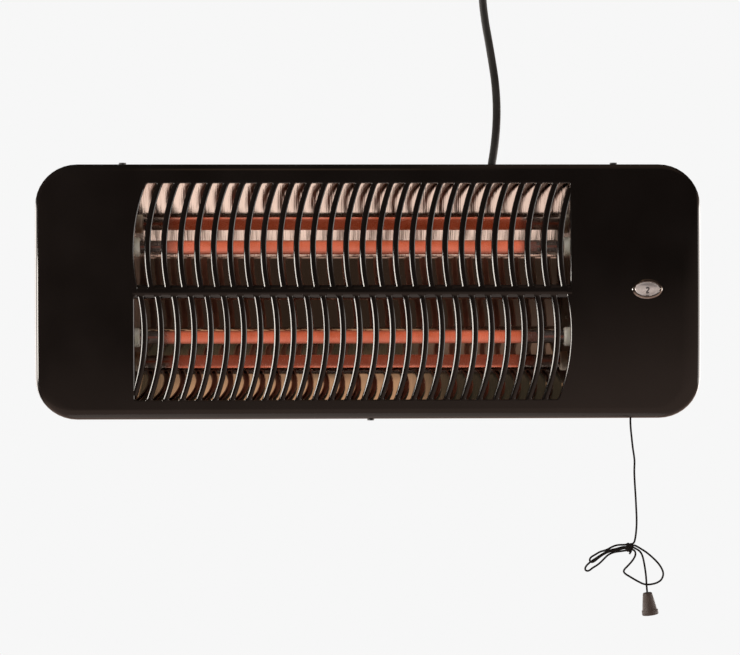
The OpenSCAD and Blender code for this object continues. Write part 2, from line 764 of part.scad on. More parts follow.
// Terminal block on the casing's back, between the tubes and the switch
block_x = end_right_x + 13;
block_w = 20;
block_d = 15;
block_h = 40;
block_z = shoulder_z - 72.5;
block_front_y = casing_in_y - block_d;
block_wire_y = casing_in_y - 8;

module terminal_block() {
  color([0.9, 0.9, 0.86]) difference() {
    translate([block_x, block_front_y, block_z]) cube([block_w, block_d, block_h]);
    for (i = [0:2]) translate([block_x, 0, way_z(i)]) {
      translate([block_w / 2, block_front_y - eps, 0]) along_y(3.2, 6);
      translate([-eps, block_wire_y, 0]) along_x(2, block_w + 2 * eps);
    }
  }
}

// Height of one of the block's three ways
function way_z(i) = block_z + block_h * (0.2 + 0.3 * i);

module terminal_screws() {
  color([0.75, 0.72, 0.6])
    for (i = [0:2])
      translate([block_x + block_w / 2, block_front_y + 1.5, way_z(i)]) along_y(2.9, 3.5);
}

cutout_y = back_y - 12;
cutout_z = -24;

// Thermal cut-out: a disc on the right end plate, with two tabs
module thermal_cutout() {
  color([0.75, 0.75, 0.72]) translate([end_right_x + end_plate_t, cutout_y, cutout_z]) {
    along_x(8, 6);
    translate([-end_plate_t - 2, 0, 0]) along_x(1.4, end_plate_t + 2.5);
    for (z = [-4, 4]) translate([6, -2.5, z - 0.4]) cube([6, 5, 0.8]);
  }
}

// The sheathed lead inside, from the gland to the terminal block
inner_lead_y = gland_y + 3;
lead_in_y = casing_in_y - 12.8;
inner_lead_step = (lead_in_y - inner_lead_y) / 6;
clamp_off = 34;
block_bend = 18;
inner_lead_z = shoulder_z - 19;
inner_lead_route = [
  [gland_x, gland_y, shoulder_z - 2], [gland_x, gland_y, shoulder_z - 7],
  [gland_x + 3.5, gland_y + 1, shoulder_z - 13], [gland_x + 13, inner_lead_y, inner_lead_z + 0.5],
  [gland_x + clamp_off, inner_lead_y, inner_lead_z],
  [block_x - block_bend, inner_lead_y, inner_lead_z],
  [block_x - 6, inner_lead_y + inner_lead_step, inner_lead_z - 2],
  [block_x + 1, inner_lead_y + 3 * inner_lead_step, inner_lead_z - 6.5],
  [block_x + 4, lead_in_y, block_z + block_h + gap + 0.5]
];

module internal_cable() {
  color([0.15, 0.15, 0.15]) tube(smooth(inner_lead_route, 2), lead_d, 10, [0, 1, 0.1]);
}

wire_d = 2.6;
right_stud_x = end_right_x + end_plate_t + cap_flange_l + 8.5;
left_stud_x = end_left_x - end_plate_t - cap_flange_l - 8.5;
wire_end_x = block_x + block_w + 0.5;
wire_mid_x = (wire_end_x + cheek_left_x) / 2;
wires = [
  // block to the switch
  [[wire_end_x, block_wire_y, way_z(0)], [wire_end_x + 3, block_wire_y, way_z(0)],
    [wire_mid_x, block_wire_y - 1, block_z + 2], [wire_mid_x, block_wire_y - 2, block_z - 8],
    [cheek_left_x - 3, block_wire_y - 2, block_z - 12],
    [cheek_left_x - 0.5, block_wire_y - 2, block_z - 12]],
  // switch to the upper and the lower tube
  [[right_stud_x, tube_y, tube_z], [right_stud_x + 3, tube_y + 1, tube_z - 1],
    [right_stud_x + 8, tube_y + 6, tube_z - 12], [right_stud_x + 10, tube_y + 12, tube_z - 26],
    [cheek_left_x - 4, tube_y + 18, 8], [cheek_left_x - 0.5, tube_y + 18, 8]],
  [[right_stud_x, tube_y, -tube_z], [right_stud_x + 3, tube_y + 1, -tube_z + 1],
    [right_stud_x + 8, tube_y + 6, -tube_z + 12], [right_stud_x + 10, tube_y + 12, -tube_z + 24],
    [cheek_left_x - 4, tube_y + 18, -10], [cheek_left_x - 0.5, tube_y + 18, -10]],
  // cut-out, along the channel behind the reflectors, to the far ends of both tubes
  [[end_right_x + 14, cutout_y, cutout_z + 4], [end_right_x + 16, cutout_y + 2, cutout_z + 9],
    [end_right_x + 14, channel_y - 2, -8], [end_right_x + 9, channel_y, -2],
    [end_right_x + 3, channel_y, 0], [end_right_x - 12, channel_y, 0],
    [0, channel_y, 0], [end_left_x + 12, channel_y, 0], [end_left_x - 6, channel_y, 0],
    [left_stud_x - 4, channel_y - 10, 8], [left_stud_x - 7, tube_y + 10, tube_z - 12],
    [left_stud_x - 4, tube_y, tube_z], [left_stud_x, tube_y, tube_z]],
  [[left_stud_x, tube_y, -tube_z], [left_stud_x - 4, tube_y, -tube_z],
    [left_stud_x - 8, tube_y + 6, -20], [left_stud_x - 8, tube_y + 6, 10],
    [left_stud_x - 8, tube_y + 1, tube_z - 10], [left_stud_x - 5, tube_y - 4, tube_z - 4]]
];

module internal_wires() {
  color([0.8, 0.78, 0.7])
    for (w = wires) tube(smooth(w, 3), wire_d, 6, [0.31, 0.9, 0.29]);
}

module cable_gland() {
  color([0.08, 0.08, 0.08]) translate([gland_x, gland_y, shoulder_z]) difference() {
    union() {
      cylinder(r = gland_r, h = gland_h, $fn = 6);
      translate([0, 0, -casing_t - 4]) cylinder(r = gland_r - 2, h = casing_t + 5);
      translate([0, 0, -casing_t - 4]) cylinder(r = gland_r + 0.5, h = 4, $fn = 6);
    }
    translate([0, 0, -casing_t - 5]) cylinder(r = lead_d / 2 + gap, h = gland_h + casing_t + 6);
  }
}

// Tapered sleeve with three relief rings
module strain_relief() {
  color([0.07, 0.07, 0.07]) translate([gland_x, gland_y, shoulder_z + gland_h]) difference() {
    union() {
      cylinder(r1 = relief_r0, r2 = relief_r1, h = relief_h);
      for (i = [1:3]) translate([0, 0, i * 4.5]) cylinder(r = relief_r0 + 0.4 - i * 0.25, h = 1.6);
    }
    translate([0, 0, -eps]) cylinder(r = lead_d / 2 + gap, h = relief_h - 1);
  }
}

clamp_x = gland_x + clamp_off;

// Places the children at the cord clamp's screws, on the upper shoulder, axis along Z
module clamp_screw_places() {
  for (s = [-1, 1]) translate([clamp_x, inner_lead_y + s * 6, shoulder_z]) children();
}

// A saddle that hangs from the shoulder and holds the inner lead
module cord_clamp() {
  color([0.85, 0.85, 0.8]) difference() {
    translate([clamp_x - 5, inner_lead_y - 9, inner_lead_z - 5])
      cube([10, 16.5, shoulder_z - inner_lead_z + 5 - casing_t]);
    translate([clamp_x - 6, inner_lead_y, inner_lead_z]) along_x(lead_d / 2 + gap, 12);
    translate([clamp_x - 6, inner_lead_y - lead_d / 2 - gap, inner_lead_z - 6])
      cube([12, lead_d + 2 * gap, 6]);
    clamp_screw_places() translate([0, 0, -12]) cylinder(r = 1.5, h = 12);
  }
}

module clamp_screws() {
  color([0.7, 0.7, 0.7]) clamp_screw_places() {
    cylinder(r = 2.8, h = 1.6);
    translate([0, 0, -10]) cylinder(r = 1.4, h = 10.5);
  }
}

// The switch's frame: a back, two cheeks for the drum, and a floor and a roof for the rod
module switch_housing() {
  depth = casing_in_y - (drum_y - 5);
  x0 = cheek_left_x;
  x1 = cheek_right_x + cheek_t;
  color([0.2, 0.2, 0.22]) difference() {
    union() {
      translate([x0, casing_in_y - cheek_t, -housing_h / 2]) cube([x1 - x0, cheek_t, housing_h]);
      for (z = [-housing_h / 2, housing_h / 2 - cheek_t])
        translate([x0, casing_in_y - housing_d, z]) cube([x1 - x0, housing_d, cheek_t]);
      for (x = [cheek_left_x, cheek_right_x]) {
        translate([x, casing_in_y - housing_d, -housing_h / 2]) cube([cheek_t, housing_d, housing_h]);
        translate([x, drum_y, drum_z]) along_x(6, cheek_t);
        translate([x, drum_y, drum_z - 6]) cube([cheek_t, depth - 6, 12]);
      }
    }
    for (x = [cheek_left_x, cheek_right_x])
      translate([x - eps, drum_y, drum_z]) along_x(axle_r + running, cheek_t + 2 * eps);
    for (z = [-housing_h / 2, housing_h / 2 - cheek_t])
      translate([cord_x, cord_y, z - eps]) cylinder(r = rod_d / 2 + running, h = cheek_t + 2 * eps);
    for (s = [-1, 1]) translate([housing_mid_x, casing_in_y - 3, s * housing_screw_z])
      along_y(1.6, 5);
  }
}

// The contact block behind the drum, on the housing's back
module_w = 18;
module_d = 14;
module_h = 32;
module switch_module() {
  color([0.9, 0.88, 0.8])
    translate([cheek_left_x + cheek_t + 5, casing_in_y - cheek_t, 0]) {
      translate([0, -module_d, -module_h / 2]) cube([module_w, module_d, module_h]);
      for (z = [-1, 0, 1])
        translate([module_w, 3 - module_d, z * module_h / 3 - 0.4]) cube([2.4, 6, 0.8]);
    }
}

module pull_rod() {
  color([0.85, 0.85, 0.85]) {
    translate([cord_x, cord_y, rod_bottom_z]) cylinder(r = rod_d / 2, h = rod_top_z - rod_bottom_z);
    translate([cord_x, cord_y, collar_z]) cylinder(r = collar_r, h = collar_t);
    // pawl finger that reaches to the ratchet
    translate([ratchet_x + gap, cord_y - 2, collar_z])
      cube([cord_x - ratchet_x - gap, 4, collar_t]);
    translate([ratchet_x + gap, drum_y + ratchet_r + 0.4, collar_z])
      cube([ratchet_t - 2 * gap, cord_y + 2 - drum_y - ratchet_r - 0.4, collar_t]);
  }
}

spring_h = collar_z - spring_floor_z - 2 * gap;
spring_rise = spring_h - spring_wire;
module return_spring() {
  path = [for (k = [0:8 * spring_turns]) [
    cord_x + spring_r * cos(45 * k), cord_y + spring_r * sin(45 * k),
    spring_floor_z + gap + spring_wire / 2 + spring_rise * k / (8 * spring_turns)
  ]];
  color([0.8, 0.8, 0.8]) tube(path, spring_wire, 6, [0, 0, 1]);
}

// The drum with its ratchet wheel at the left
module indicator_drum() {
  drum_x = ratchet_x + ratchet_t;
  drum_len = cheek_right_x - 0.5 - drum_x;
  step = 360 / ratchet_teeth;
  color([0.75, 0.72, 0.7]) translate([0, drum_y, drum_z]) difference() {
    union() {
      translate([drum_x, 0, 0]) along_x(drum_r, drum_len);
      translate([ratchet_x, 0, 0]) rotate([90, 0, 90]) linear_extrude(ratchet_t)
        polygon([for (k = [0:ratchet_teeth - 1]) each [
          ratchet_r * [cos(step * k), sin(step * k)],
          (ratchet_r - 2.6) * [cos(step * (k + 0.12)), sin(step * (k + 0.12))]
        ]]);
    }
    translate([ratchet_x - eps, 0, 0]) along_x(axle_r + running, drum_len + ratchet_t + 2 * eps);
    translate([drum_x + drum_len - 8, 0, 0]) difference() {
      along_x(drum_r - 2, 9);
      translate([-eps, 0, 0]) along_x(axle_r + 2, 12);
    }
  }
}

module drum_axle() {
  color([0.7, 0.7, 0.7]) {
    translate([cheek_left_x - 2, drum_y, drum_z])
      along_x(axle_r, cheek_right_x - cheek_left_x + cheek_t + 4);
    translate([cheek_right_x + cheek_t, drum_y, drum_z]) along_x(axle_r + 1.2, 1.2);
  }
}

module window_bezel() {
  color([0.8, 0.8, 0.8]) translate([window_eye_x, front_y, drum_z]) rotate([90, 0, 0])
    difference() {
      union() {
        linear_extrude(1.6) oval(bezel_w, bezel_h);
        translate([0, 0, -panel_t - 1]) linear_extrude(panel_t + 2)
          oval(bezel_w - 3.4, bezel_h - 3.4);
      }
      translate([0, 0, -panel_t - 2]) linear_extrude(panel_t + 6)
        oval(bezel_w - 5.4, bezel_h - 5.4);
    }
}

module indicator_lens() {
  color([0.9, 0.9, 0.9, 0.5]) translate([window_eye_x, front_y, drum_z]) rotate([90, 0, 0])
    translate([0, 0, -panel_t - 1]) linear_extrude(panel_t + 2)
      oval(bezel_w - 5.6, bezel_h - 5.6);
}

module cord_eyelet() {
  color([0.1, 0.1, 0.1]) translate([cord_x, cord_y, -shoulder_z]) difference() {
    union() {
      translate([0, 0, -eyelet_flange_t]) cylinder(r = eyelet_r, h = eyelet_flange_t);
      translate([0, 0, -0.5]) cylinder(r = eyelet_r - 1.7, h = casing_t + 0.5 + gap);
      translate([0, 0, casing_t]) cylinder(r = eyelet_r - 0.6, h = 1.2);
    }
    translate([0, 0, -5]) cylinder(r = eyelet_bore_r, h = 10);
  }
}

// The cord's stretch inside the casing, from the rod through the eyelet
module pull_cord_inner() {
  color([0.2, 0.2, 0.2]) translate([cord_x, cord_y, cord_exit_z + 0.6])
    cylinder(r = cord_d / 2, h = rod_bottom_z - cord_exit_z - 0.6);
}

module pull_cord() {
  color([0.2, 0.2, 0.2])
    tube(moved(smooth(cord_route, 2), [cord_x, cord_y, cord_exit_z]), cord_d, 8);
}

module cord_knot() {
  color([0.2, 0.2, 0.2]) translate(knot_at) rotate_extrude() polygon([
    [0, -knot_h / 2], [knot_r - 1.2, -knot_h / 2], [knot_r, -knot_h / 2 + 1.6],
    [knot_r, knot_h / 2 - 1.6], [knot_r - 1.2, knot_h / 2], [0, knot_h / 2]
  ]);
}

module pull_cord_bow() {
  color([0.2, 0.2, 0.2])
    for (loop = [loop_upper, loop_lower, loop_right])
      tube(moved(smooth(loop, 2), knot_at), cord_d, 8);
}

module pull_cord_drop() {
  color([0.2, 0.2, 0.2]) tube(moved(smooth(drop_route, 2), knot_at), cord_d, 8);
}

// A tapered knob with a straight rim, hung a little aslant
module pull_knob() {
  color([0.22, 0.2, 0.18]) translate(knot_at + drop_route[len(drop_route) - 1])
    rotate([0, -knob_tilt, 0]) translate([0, 0, -knob_h]) rotate_extrude() polygon([
      [0, 0], [knob_r_bottom - 0.6, 0], [knob_r_bottom, 0.6], [knob_r_bottom, knob_rim_h],
      [knob_r_bottom - 0.7, knob_rim_h + 0.4], [knob_r_top, knob_h - 0.8],
      [knob_r_top - 0.8, knob_h], [0, knob_h]
    ]);
}

module mains_lead() {
  color([0.14, 0.14, 0.14])
    tube(moved(smooth(lead_route, 2), lead_start), lead_d, 10);
}

// The coil's radius and layer, a number of turns after its start
function coil_radius(t) = coil_r_in + coil_pitch * abs(t - coil_turns_in);
function coil_layer(t) = min(max((t - coil_turns_in) * 2 + 0.5, 0), 1);
coil_steps = round((coil_turns_in + coil_turns_out) * coil_rings);
coil_path = concat(
  [[coil_cx + coil_r_out, coil_y, coil_cz - lead_d]],
  [for (k = [0:coil_steps]) let (t = k / coil_rings)
    [coil_cx + coil_radius(t) * cos(360 * t), coil_y - coil_pitch * coil_layer(t),
      coil_cz + coil_radius(t) * sin(360 * t)]],
  [coil_end]
);

module mains_coil() {
  color([0.14, 0.14, 0.14]) tube(coil_path, lead_d, 6);
}

// The least clear distance between turns of the coil, measured on its points
coil_self_gap = min([for (i = [0:len(coil_path) - 1]) for (j = [i + 12:1:len(coil_path) - 1])
  norm(coil_path[i] - coil_path[j])]) - lead_d;
echo(coil_self_gap = coil_self_gap);

// A band round all the coil's strands at its left side
module coil_tie() {
  inner = coil_r_in - lead_d / 2 - 1.5;
  outer = coil_r_end + lead_d / 2 + 1.5;
  back = coil_y + lead_d / 2 + gap;
  front = coil_y - coil_pitch - lead_d / 2 - gap;
  tie_t = 0.8;
  tie_w = 5;
  color([0.05, 0.05, 0.05]) translate([coil_cx, 0, coil_cz - tie_w / 2]) difference() {
    translate([-outer - tie_t, front - tie_t, 0])
      cube([outer - inner + 2 * tie_t, back - front + 2 * tie_t, tie_w]);
    translate([-outer, front, -eps]) cube([outer - inner, back - front, tie_w + 2 * eps]);
  }
}

module plug_tail() {
  color([0.14, 0.14, 0.14]) tube(moved(smooth(tail_route, 2), coil_end), lead_d, 10);
}

// A round earthed plug that points along -X
plug_l = 36;
plug_boot_l = 20;
pin_off = 9.5;
pin_r = 2.4;
earth_off = 10;
earth_r = 2.8;
module plug_body() {
  color([0.08, 0.08, 0.08]) translate(plug_at) rotate([0, -90, 0]) difference() {
    rotate_extrude() polygon([
      [0, 0], [lead_d / 2 + 1, 0], [lead_d / 2 + 2.6, plug_boot_l],
      [plug_d / 2 - 5, plug_boot_l + 6], [plug_d / 2, plug_boot_l + 12],
      [plug_d / 2, plug_boot_l + plug_l - 1.5], [plug_d / 2 - 1.5, plug_boot_l + plug_l],
      [0, plug_boot_l + plug_l]
    ]);
    for (s = [-1, 1]) translate([s * pin_off, 0, plug_boot_l + plug_l - 14])
      cylinder(r = pin_r, h = 20);
    translate([0, earth_off, plug_boot_l + plug_l - 16]) cylinder(r = earth_r, h = 20);
  }
}

module plug_pins() {
  color([0.8, 0.8, 0.78]) translate(plug_at) rotate([0, -90, 0])
    for (s = [-1, 1]) translate([s * pin_off, 0, plug_boot_l + plug_l - 14]) {
      cylinder(r = pin_r, h = 31);
      translate([0, 0, 31]) cylinder(r1 = pin_r, r2 = pin_r / 2, h = 2);
    }
}

module plug_earth() {
  color([0.8, 0.72, 0.45]) translate(plug_at) rotate([0, -90, 0])
    translate([0, earth_off, plug_boot_l + plug_l - 16]) difference() {
      cylinder(r = earth_r, h = 15);
      translate([0, 0, 1]) cylinder(r = earth_r - 0.5, h = 15);
    }
}

wall_bracket();
front_panel();
rear_casing();
casing_screws();
reflector_upper();
reflector_lower();
end_plate_left();
end_plate_right();
quartz_tube_upper();
quartz_tube_lower();
heating_coil_upper();
heating_coil_lower();
ceramic_caps_left();
ceramic_caps_right();
terminal_studs();
hinge_lugs();
lug_rivets();
pivot_bolts();
pivot_nuts();
pivot_washers();
terminal_block();
terminal_screws();
thermal_cutout();
internal_cable();
internal_wires();
cable_gland();
strain_relief();
cord_clamp();
clamp_screws();
switch_housing();
switch_module();
pull_rod();
return_spring();
indicator_drum();
drum_axle();
window_bezel();
indicator_lens();
cord_eyelet();
pull_cord_inner();
pull_cord();
cord_knot();
pull_cord_bow();
pull_cord_drop();
pull_knob();
mains_lead();
mains_coil();
coil_tie();
plug_tail();
plug_body();
plug_pins();
plug_earth();
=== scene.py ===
"""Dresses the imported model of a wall-hung quartz heater and sets the stage for its picture.

Seen from the room, +X is to the right, +Z is up and -Y points out of the wall. The frame's
and the add-on's sizes are in metres. Routes, rings, sections and patterns are in millimetres.
"""

import math

import bmesh
import bpy
import numpy as np
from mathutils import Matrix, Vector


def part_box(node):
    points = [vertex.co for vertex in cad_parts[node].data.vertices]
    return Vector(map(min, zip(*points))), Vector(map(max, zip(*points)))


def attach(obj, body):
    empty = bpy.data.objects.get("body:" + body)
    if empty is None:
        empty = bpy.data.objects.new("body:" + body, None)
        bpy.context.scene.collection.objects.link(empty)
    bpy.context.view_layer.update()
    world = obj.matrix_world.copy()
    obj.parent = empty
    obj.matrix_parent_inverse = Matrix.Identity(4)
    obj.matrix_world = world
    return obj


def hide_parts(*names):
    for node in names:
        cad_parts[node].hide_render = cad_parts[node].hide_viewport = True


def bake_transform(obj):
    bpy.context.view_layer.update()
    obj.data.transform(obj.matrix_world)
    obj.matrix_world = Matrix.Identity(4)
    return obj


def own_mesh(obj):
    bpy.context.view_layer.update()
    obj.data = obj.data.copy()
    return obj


bl_info = {
    "name": "Quartz bar heater",
    "version": (1, 0, 0),
    "blender": (4, 5, 0),
    "location": "3D Viewport > Sidebar > Heater",
    "description": "Builds the visible pieces and finishes of a wall-hung quartz heater",
    "category": "Object",
}

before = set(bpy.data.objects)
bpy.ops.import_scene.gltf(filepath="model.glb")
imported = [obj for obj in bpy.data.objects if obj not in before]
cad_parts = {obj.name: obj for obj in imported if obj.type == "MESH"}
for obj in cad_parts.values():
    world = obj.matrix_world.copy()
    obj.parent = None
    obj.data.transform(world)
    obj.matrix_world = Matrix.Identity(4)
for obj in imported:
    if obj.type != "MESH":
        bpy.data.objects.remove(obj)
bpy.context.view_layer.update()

MM = 0.001
PANEL_LOW, PANEL_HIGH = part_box("front_panel")
TO_WALL = (0.0, 1.0, 0.0)


# ---------------------------------------------------------------- sizes and colours


def length(name, text, default, low=0.0):
    """A length in metres that a user may change."""
    return bpy.props.FloatProperty(
        name=name, description=text, default=default, min=low, unit="LENGTH", precision=5
    )


def colour(name, text, code):
    """A colour that a user may change, given as an sRGB hex code."""
    return bpy.props.FloatVectorProperty(
        name=name, description=text, default=linear(code)[:3], size=3, min=0, max=1,
        subtype="COLOR",
    )


def linear(code):
    """The linear RGBA of an sRGB hex code."""
    share = np.array([int(code[i:i + 2], 16) for i in (1, 3, 5)]) / 255
    rgb = np.where(share <= 0.04045, share / 12.92, ((share + 0.055) / 1.055) ** 2.4)
    return (*[float(value) for value in rgb], 1.0)


class HeaterSizes(bpy.types.PropertyGroup):
    """Sizes of the pieces that are built here."""

    corner_radius: length("Corner radius", "Radius of the front's four corners", 0.038)
    edge_radius: length("Edge radius", "Radius of the soft edge round the front", 0.009)
    crown_radius: length("Crown radius", "Radius of the front's upright crown", 1.38, 0.5)
    sheet: length("Sheet", "Thickness of the front's sheet steel", 0.0015)
    slot_pitch: length("Slot pitch", "Distance from slot to slot", 0.01516)
    slot_width: length("Slot width", "Clear width of a slot", 0.0097)
    slat_bow: length("Slat bow", "Radius of the slats' bow", 0.172)
    slat_edge: length("Slat edge", "Width of the slats' sloping edges", 0.0011)
    window_edge: length("Window edge", "Width of the sloping edge round the windows", 0.0007)
    slot_corner: length("Slot corner", "Radius of the slots' corners at the bar", 0.0022)
    lip_depth: length("Lip depth", "Depth of the slots' turned-in lips", 0.005)
    wire: length("Element wire", "Thickness of the heating wire", 0.0009)
    wire_pitch: length("Element pitch", "Distance from turn to turn of the wire", 0.00135)
    lead: length("Mains lead", "Diameter of the mains lead", 0.0076)
    cord: length("Pull cord", "Diameter of the pull cord", 0.0018)


class HeaterColours(bpy.types.PropertyGroup):
    """Colours of the finishes that a user would change."""

    enamel: colour("Enamel", "The front's black enamel", "#0b0807")
    glow: colour("Glow", "The heating wire, switched on", "#cf5524")
    reflector: colour("Reflector", "The bright aluminium behind the tubes", "#e6dad1")
    drum: colour("Drum", "The indicator's silver drum", "#c9bab2")
    digits: colour("Digits", "The numbers on the drum", "#2c1204")
    braid: colour("Pull cord", "The pull cord's braid", "#15110f")
    rubber: colour("Rubber", "The mains lead's sheath", "#1b1917")


# ---------------------------------------------------------------- meshes from arrays


def grid_quads(rows, cols, wrap_rows=False, wrap_cols=False, flip=False):
    """Quads of a grid in which vertex (i, j) has the number i * cols + j."""
    i, j = np.meshgrid(
        np.arange(rows if wrap_rows else rows - 1),
        np.arange(cols if wrap_cols else cols - 1), indexing="ij",
    )
    k, m = (i + 1) % rows, (j + 1) % cols
    quads = np.stack([i * cols + j, i * cols + m, k * cols + m, k * cols + j], axis=-1)
    quads = quads.reshape(-1, 4)
    return quads[:, ::-1] if flip else quads


def closed_run(rings):
    """A run of closed sections, one row of the array each, as points and faces, with a cap at
    each end."""
    rows, cols = rings.shape[:2]
    last = (rows - 1) * cols
    caps = [list(range(cols))[::-1], list(range(last, last + cols))]
    return rings.reshape(-1, 3), grid_quads(rows, cols, wrap_cols=True).tolist() + caps


def joined(parts):
    """Several (points, faces) as one; faces is a list of index lists."""
    points, faces, start = [], [], 0
    for part_points, part_faces in parts:
        points.append(part_points)
        faces += [[index + start for index in face] for face in part_faces]
        start += len(part_points)
    return np.concatenate(points), faces


def piece(name, points, faces, body, finish, slot, replaced=(), crease=50, uv=None,
          outwards=False):
    """Makes an object of points in metres, lets it ride on a CAD body and gives it its finish.
    A closed mesh may have its faces turned outwards."""
    if not faces:
        raise RuntimeError(name + " has no faces")
    mesh = bpy.data.meshes.new(name)
    mesh.from_pydata(points.tolist(), [], faces)
    mesh.polygons.foreach_set("use_smooth", np.ones(len(mesh.polygons), dtype=bool))
    mesh.set_sharp_from_angle(angle=math.radians(crease))
    if uv is not None:
        layer = mesh.uv_layers.new(name="along")
        layer.data.foreach_set("uv", np.asarray(uv, dtype=np.float32).ravel())
    mesh.materials.append(finish)
    mesh.validate()
    thing = bpy.data.objects.new(name, mesh)
    bpy.context.scene.collection.objects.link(thing)
    if body:
        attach(thing, body)
    if replaced:
        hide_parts(*replaced)
    if outwards:
        form = bmesh.new()
        form.from_mesh(mesh)
        bmesh.ops.recalc_face_normals(form, faces=form.faces)
        form.to_mesh(mesh)
        form.free()
    return thing


def circle(count):
    """The angles of count points round a circle."""
    return np.arange(count) / count * 2 * np.pi


def unit(vectors):
    """Vectors of length 1 along the last axis."""
    return vectors / np.linalg.norm(vectors, axis=-1, keepdims=True)


def leaned(points, degrees):
    """Points turned about the Y axis: (x cos a + z sin a, y, z cos a - x sin a)."""
    x, y, z = np.moveaxis(points, -1, 0)
    cos, sin = math.cos(math.radians(degrees)), math.sin(math.radians(degrees))
    return stacked(x * cos + z * sin, y, z * cos - x * sin)


def stacked(x, y, z):
    """Points from three arrays or numbers, spread out to one shape."""
    return np.stack(np.broadcast_arrays(x, y, z), axis=-1)


def middle(low, high):
    """The middle of a box, and its two corners, as arrays."""
    low, high = np.array(low), np.array(high)
    return (low + high) / 2, low, high


def distances(path):
    """How far each point lies along a path: the running sum of its steps."""
    return np.concatenate([[0], np.cumsum(np.linalg.norm(np.diff(path, axis=0), axis=1))])


def through(points, steps):
    """The Catmull-Rom curve through points, with steps samples between each two."""
    p = np.asarray(points, dtype=float)
    padded = np.concatenate([p[:1], p, p[-1:]])
    t = (np.arange(steps) / steps)[None, :, None]
    a, b, c, d = (padded[i:i + len(p) - 1, None, :] for i in range(4))
    curve = 0.5 * (2 * b + (c - a) * t + (2 * a - 5 * b + 4 * c - d) * t ** 2
                   + (3 * b - a - 3 * c + d) * t ** 3)
    return np.concatenate([curve.reshape(-1, p.shape[1]), p[-1:]])


def softened(path, step=0.8, reach=1.5):
    """A path in millimetres at even steps, each point the bell-weighted mean of the points
    within a few times reach along it; the ends stay."""
    s = distances(path)
    at = np.linspace(0, s[-1], int(s[-1] / step) + 1)
    even = np.stack([np.interp(at, s, path[:, axis]) for axis in range(3)], axis=1)
    room = np.minimum(np.minimum(at, s[-1] - at) / 3, reach) + 1e-6
    weight = np.exp(-0.5 * ((at[:, None] - at[None, :]) / room[:, None]) ** 2)
    return (weight @ even) / weight.sum(axis=1, keepdims=True)


def helix(centre, axis, radius, start, end, turns, per_turn):
    """A helix about an axis through centre: along the axis from start to end while it turns."""
    angle = np.linspace(0, turns * 2 * np.pi, int(turns * per_turn) + 1)
    other = [i for i in range(3) if i != axis]
    path = np.tile(np.asarray(centre, dtype=float), (len(angle), 1))
    path[:, axis] += np.linspace(start, end, len(angle))
    path[:, other[0]] += radius * np.cos(angle)
    path[:, other[1]] += radius * np.sin(angle)
    return path


def tube(path, diameter, sides, side=TO_WALL):
    """A round tube along a path: each ring is the path's point plus r (cos v n + sin v b),
    where n and b are square to the path. Gives points, faces and one UV per face corner:
    metres along the path, and the share of a turn round it."""
    t = unit(np.gradient(path, axis=0))
    n = unit(np.cross(np.asarray(side, dtype=float), t))
    b = np.cross(t, n)
    v = circle(sides)
    points, faces = closed_run(path[:, None] + diameter / 2 * (
        np.cos(v)[None, :, None] * n[:, None] + np.sin(v)[None, :, None] * b[:, None]))
    s = distances(path)
    i, j = np.meshgrid(np.arange(len(path) - 1), np.arange(sides), indexing="ij")
    uv = np.stack([np.stack([s[i + on], (j + about) / sides], -1)
                   for on, about in ((0, 0), (0, 1), (1, 1), (1, 0))], axis=2)
    caps = np.repeat([[0.0, 0.0], [s[-1], 0.0]], sides, axis=0)
    return points, faces, np.concatenate([uv.reshape(-1, 2), caps])


def tube_piece(name, path, diameter, body, finish, slot, replaced, sides, side=TO_WALL):
    """A tube along a path as an object of its own, with its UV map."""
    points, faces, uv = tube(path, diameter, sides, side)
    return piece(name, points, faces, body, finish, slot, replaced, crease=60, uv=uv)


# ---------------------------------------------------------------- materials


def add(tree, kind, feeds=None, **settings):
    """Adds a node: settings are its own properties; feeds gives each input a value, a link or
    the name of one of the tree's patterns."""
    node = tree.nodes.new(kind)
    for key, value in settings.items():
        setattr(node, key, value)
    for key, value in (feeds or {}).items():
        if isinstance(value, str):
            value = tree.nodes[value].outputs["Fac"]
        if isinstance(value, bpy.types.NodeSocket):
            tree.links.new(value, node.inputs[key])
        else:
            node.inputs[key].default_value = value
    return node


def follow(tree, factor, first, second, low=0.3, high=0.7):
    """What runs from first to second while a factor goes from low to high: a number, or a
    colour, where first and second are each a hex code, an RGBA or a link."""
    numbers = isinstance(first, float)
    ends = (first, second) if numbers else (0.0, 1.0)
    first, second = (linear(end) if isinstance(end, str) else end for end in (first, second))
    share = add(tree, "ShaderNodeMapRange", {
        "Value": factor, "From Min": low, "From Max": high, "To Min": ends[0],
        "To Max": ends[1]}).outputs["Result"]
    if numbers:
        return share
    feeds = {"Factor": share, "A": first, "B": second}
    return add(tree, "ShaderNodeMix", feeds, data_type="RGBA").outputs["Result"]


def chained(tree, kind, first, *others, **settings):
    """Several values taken together one after another by nodes of one kind, as in a sum."""
    for other in others:
        first = add(tree, kind, {0: first, 1: other}, **settings).outputs[0]
    return first


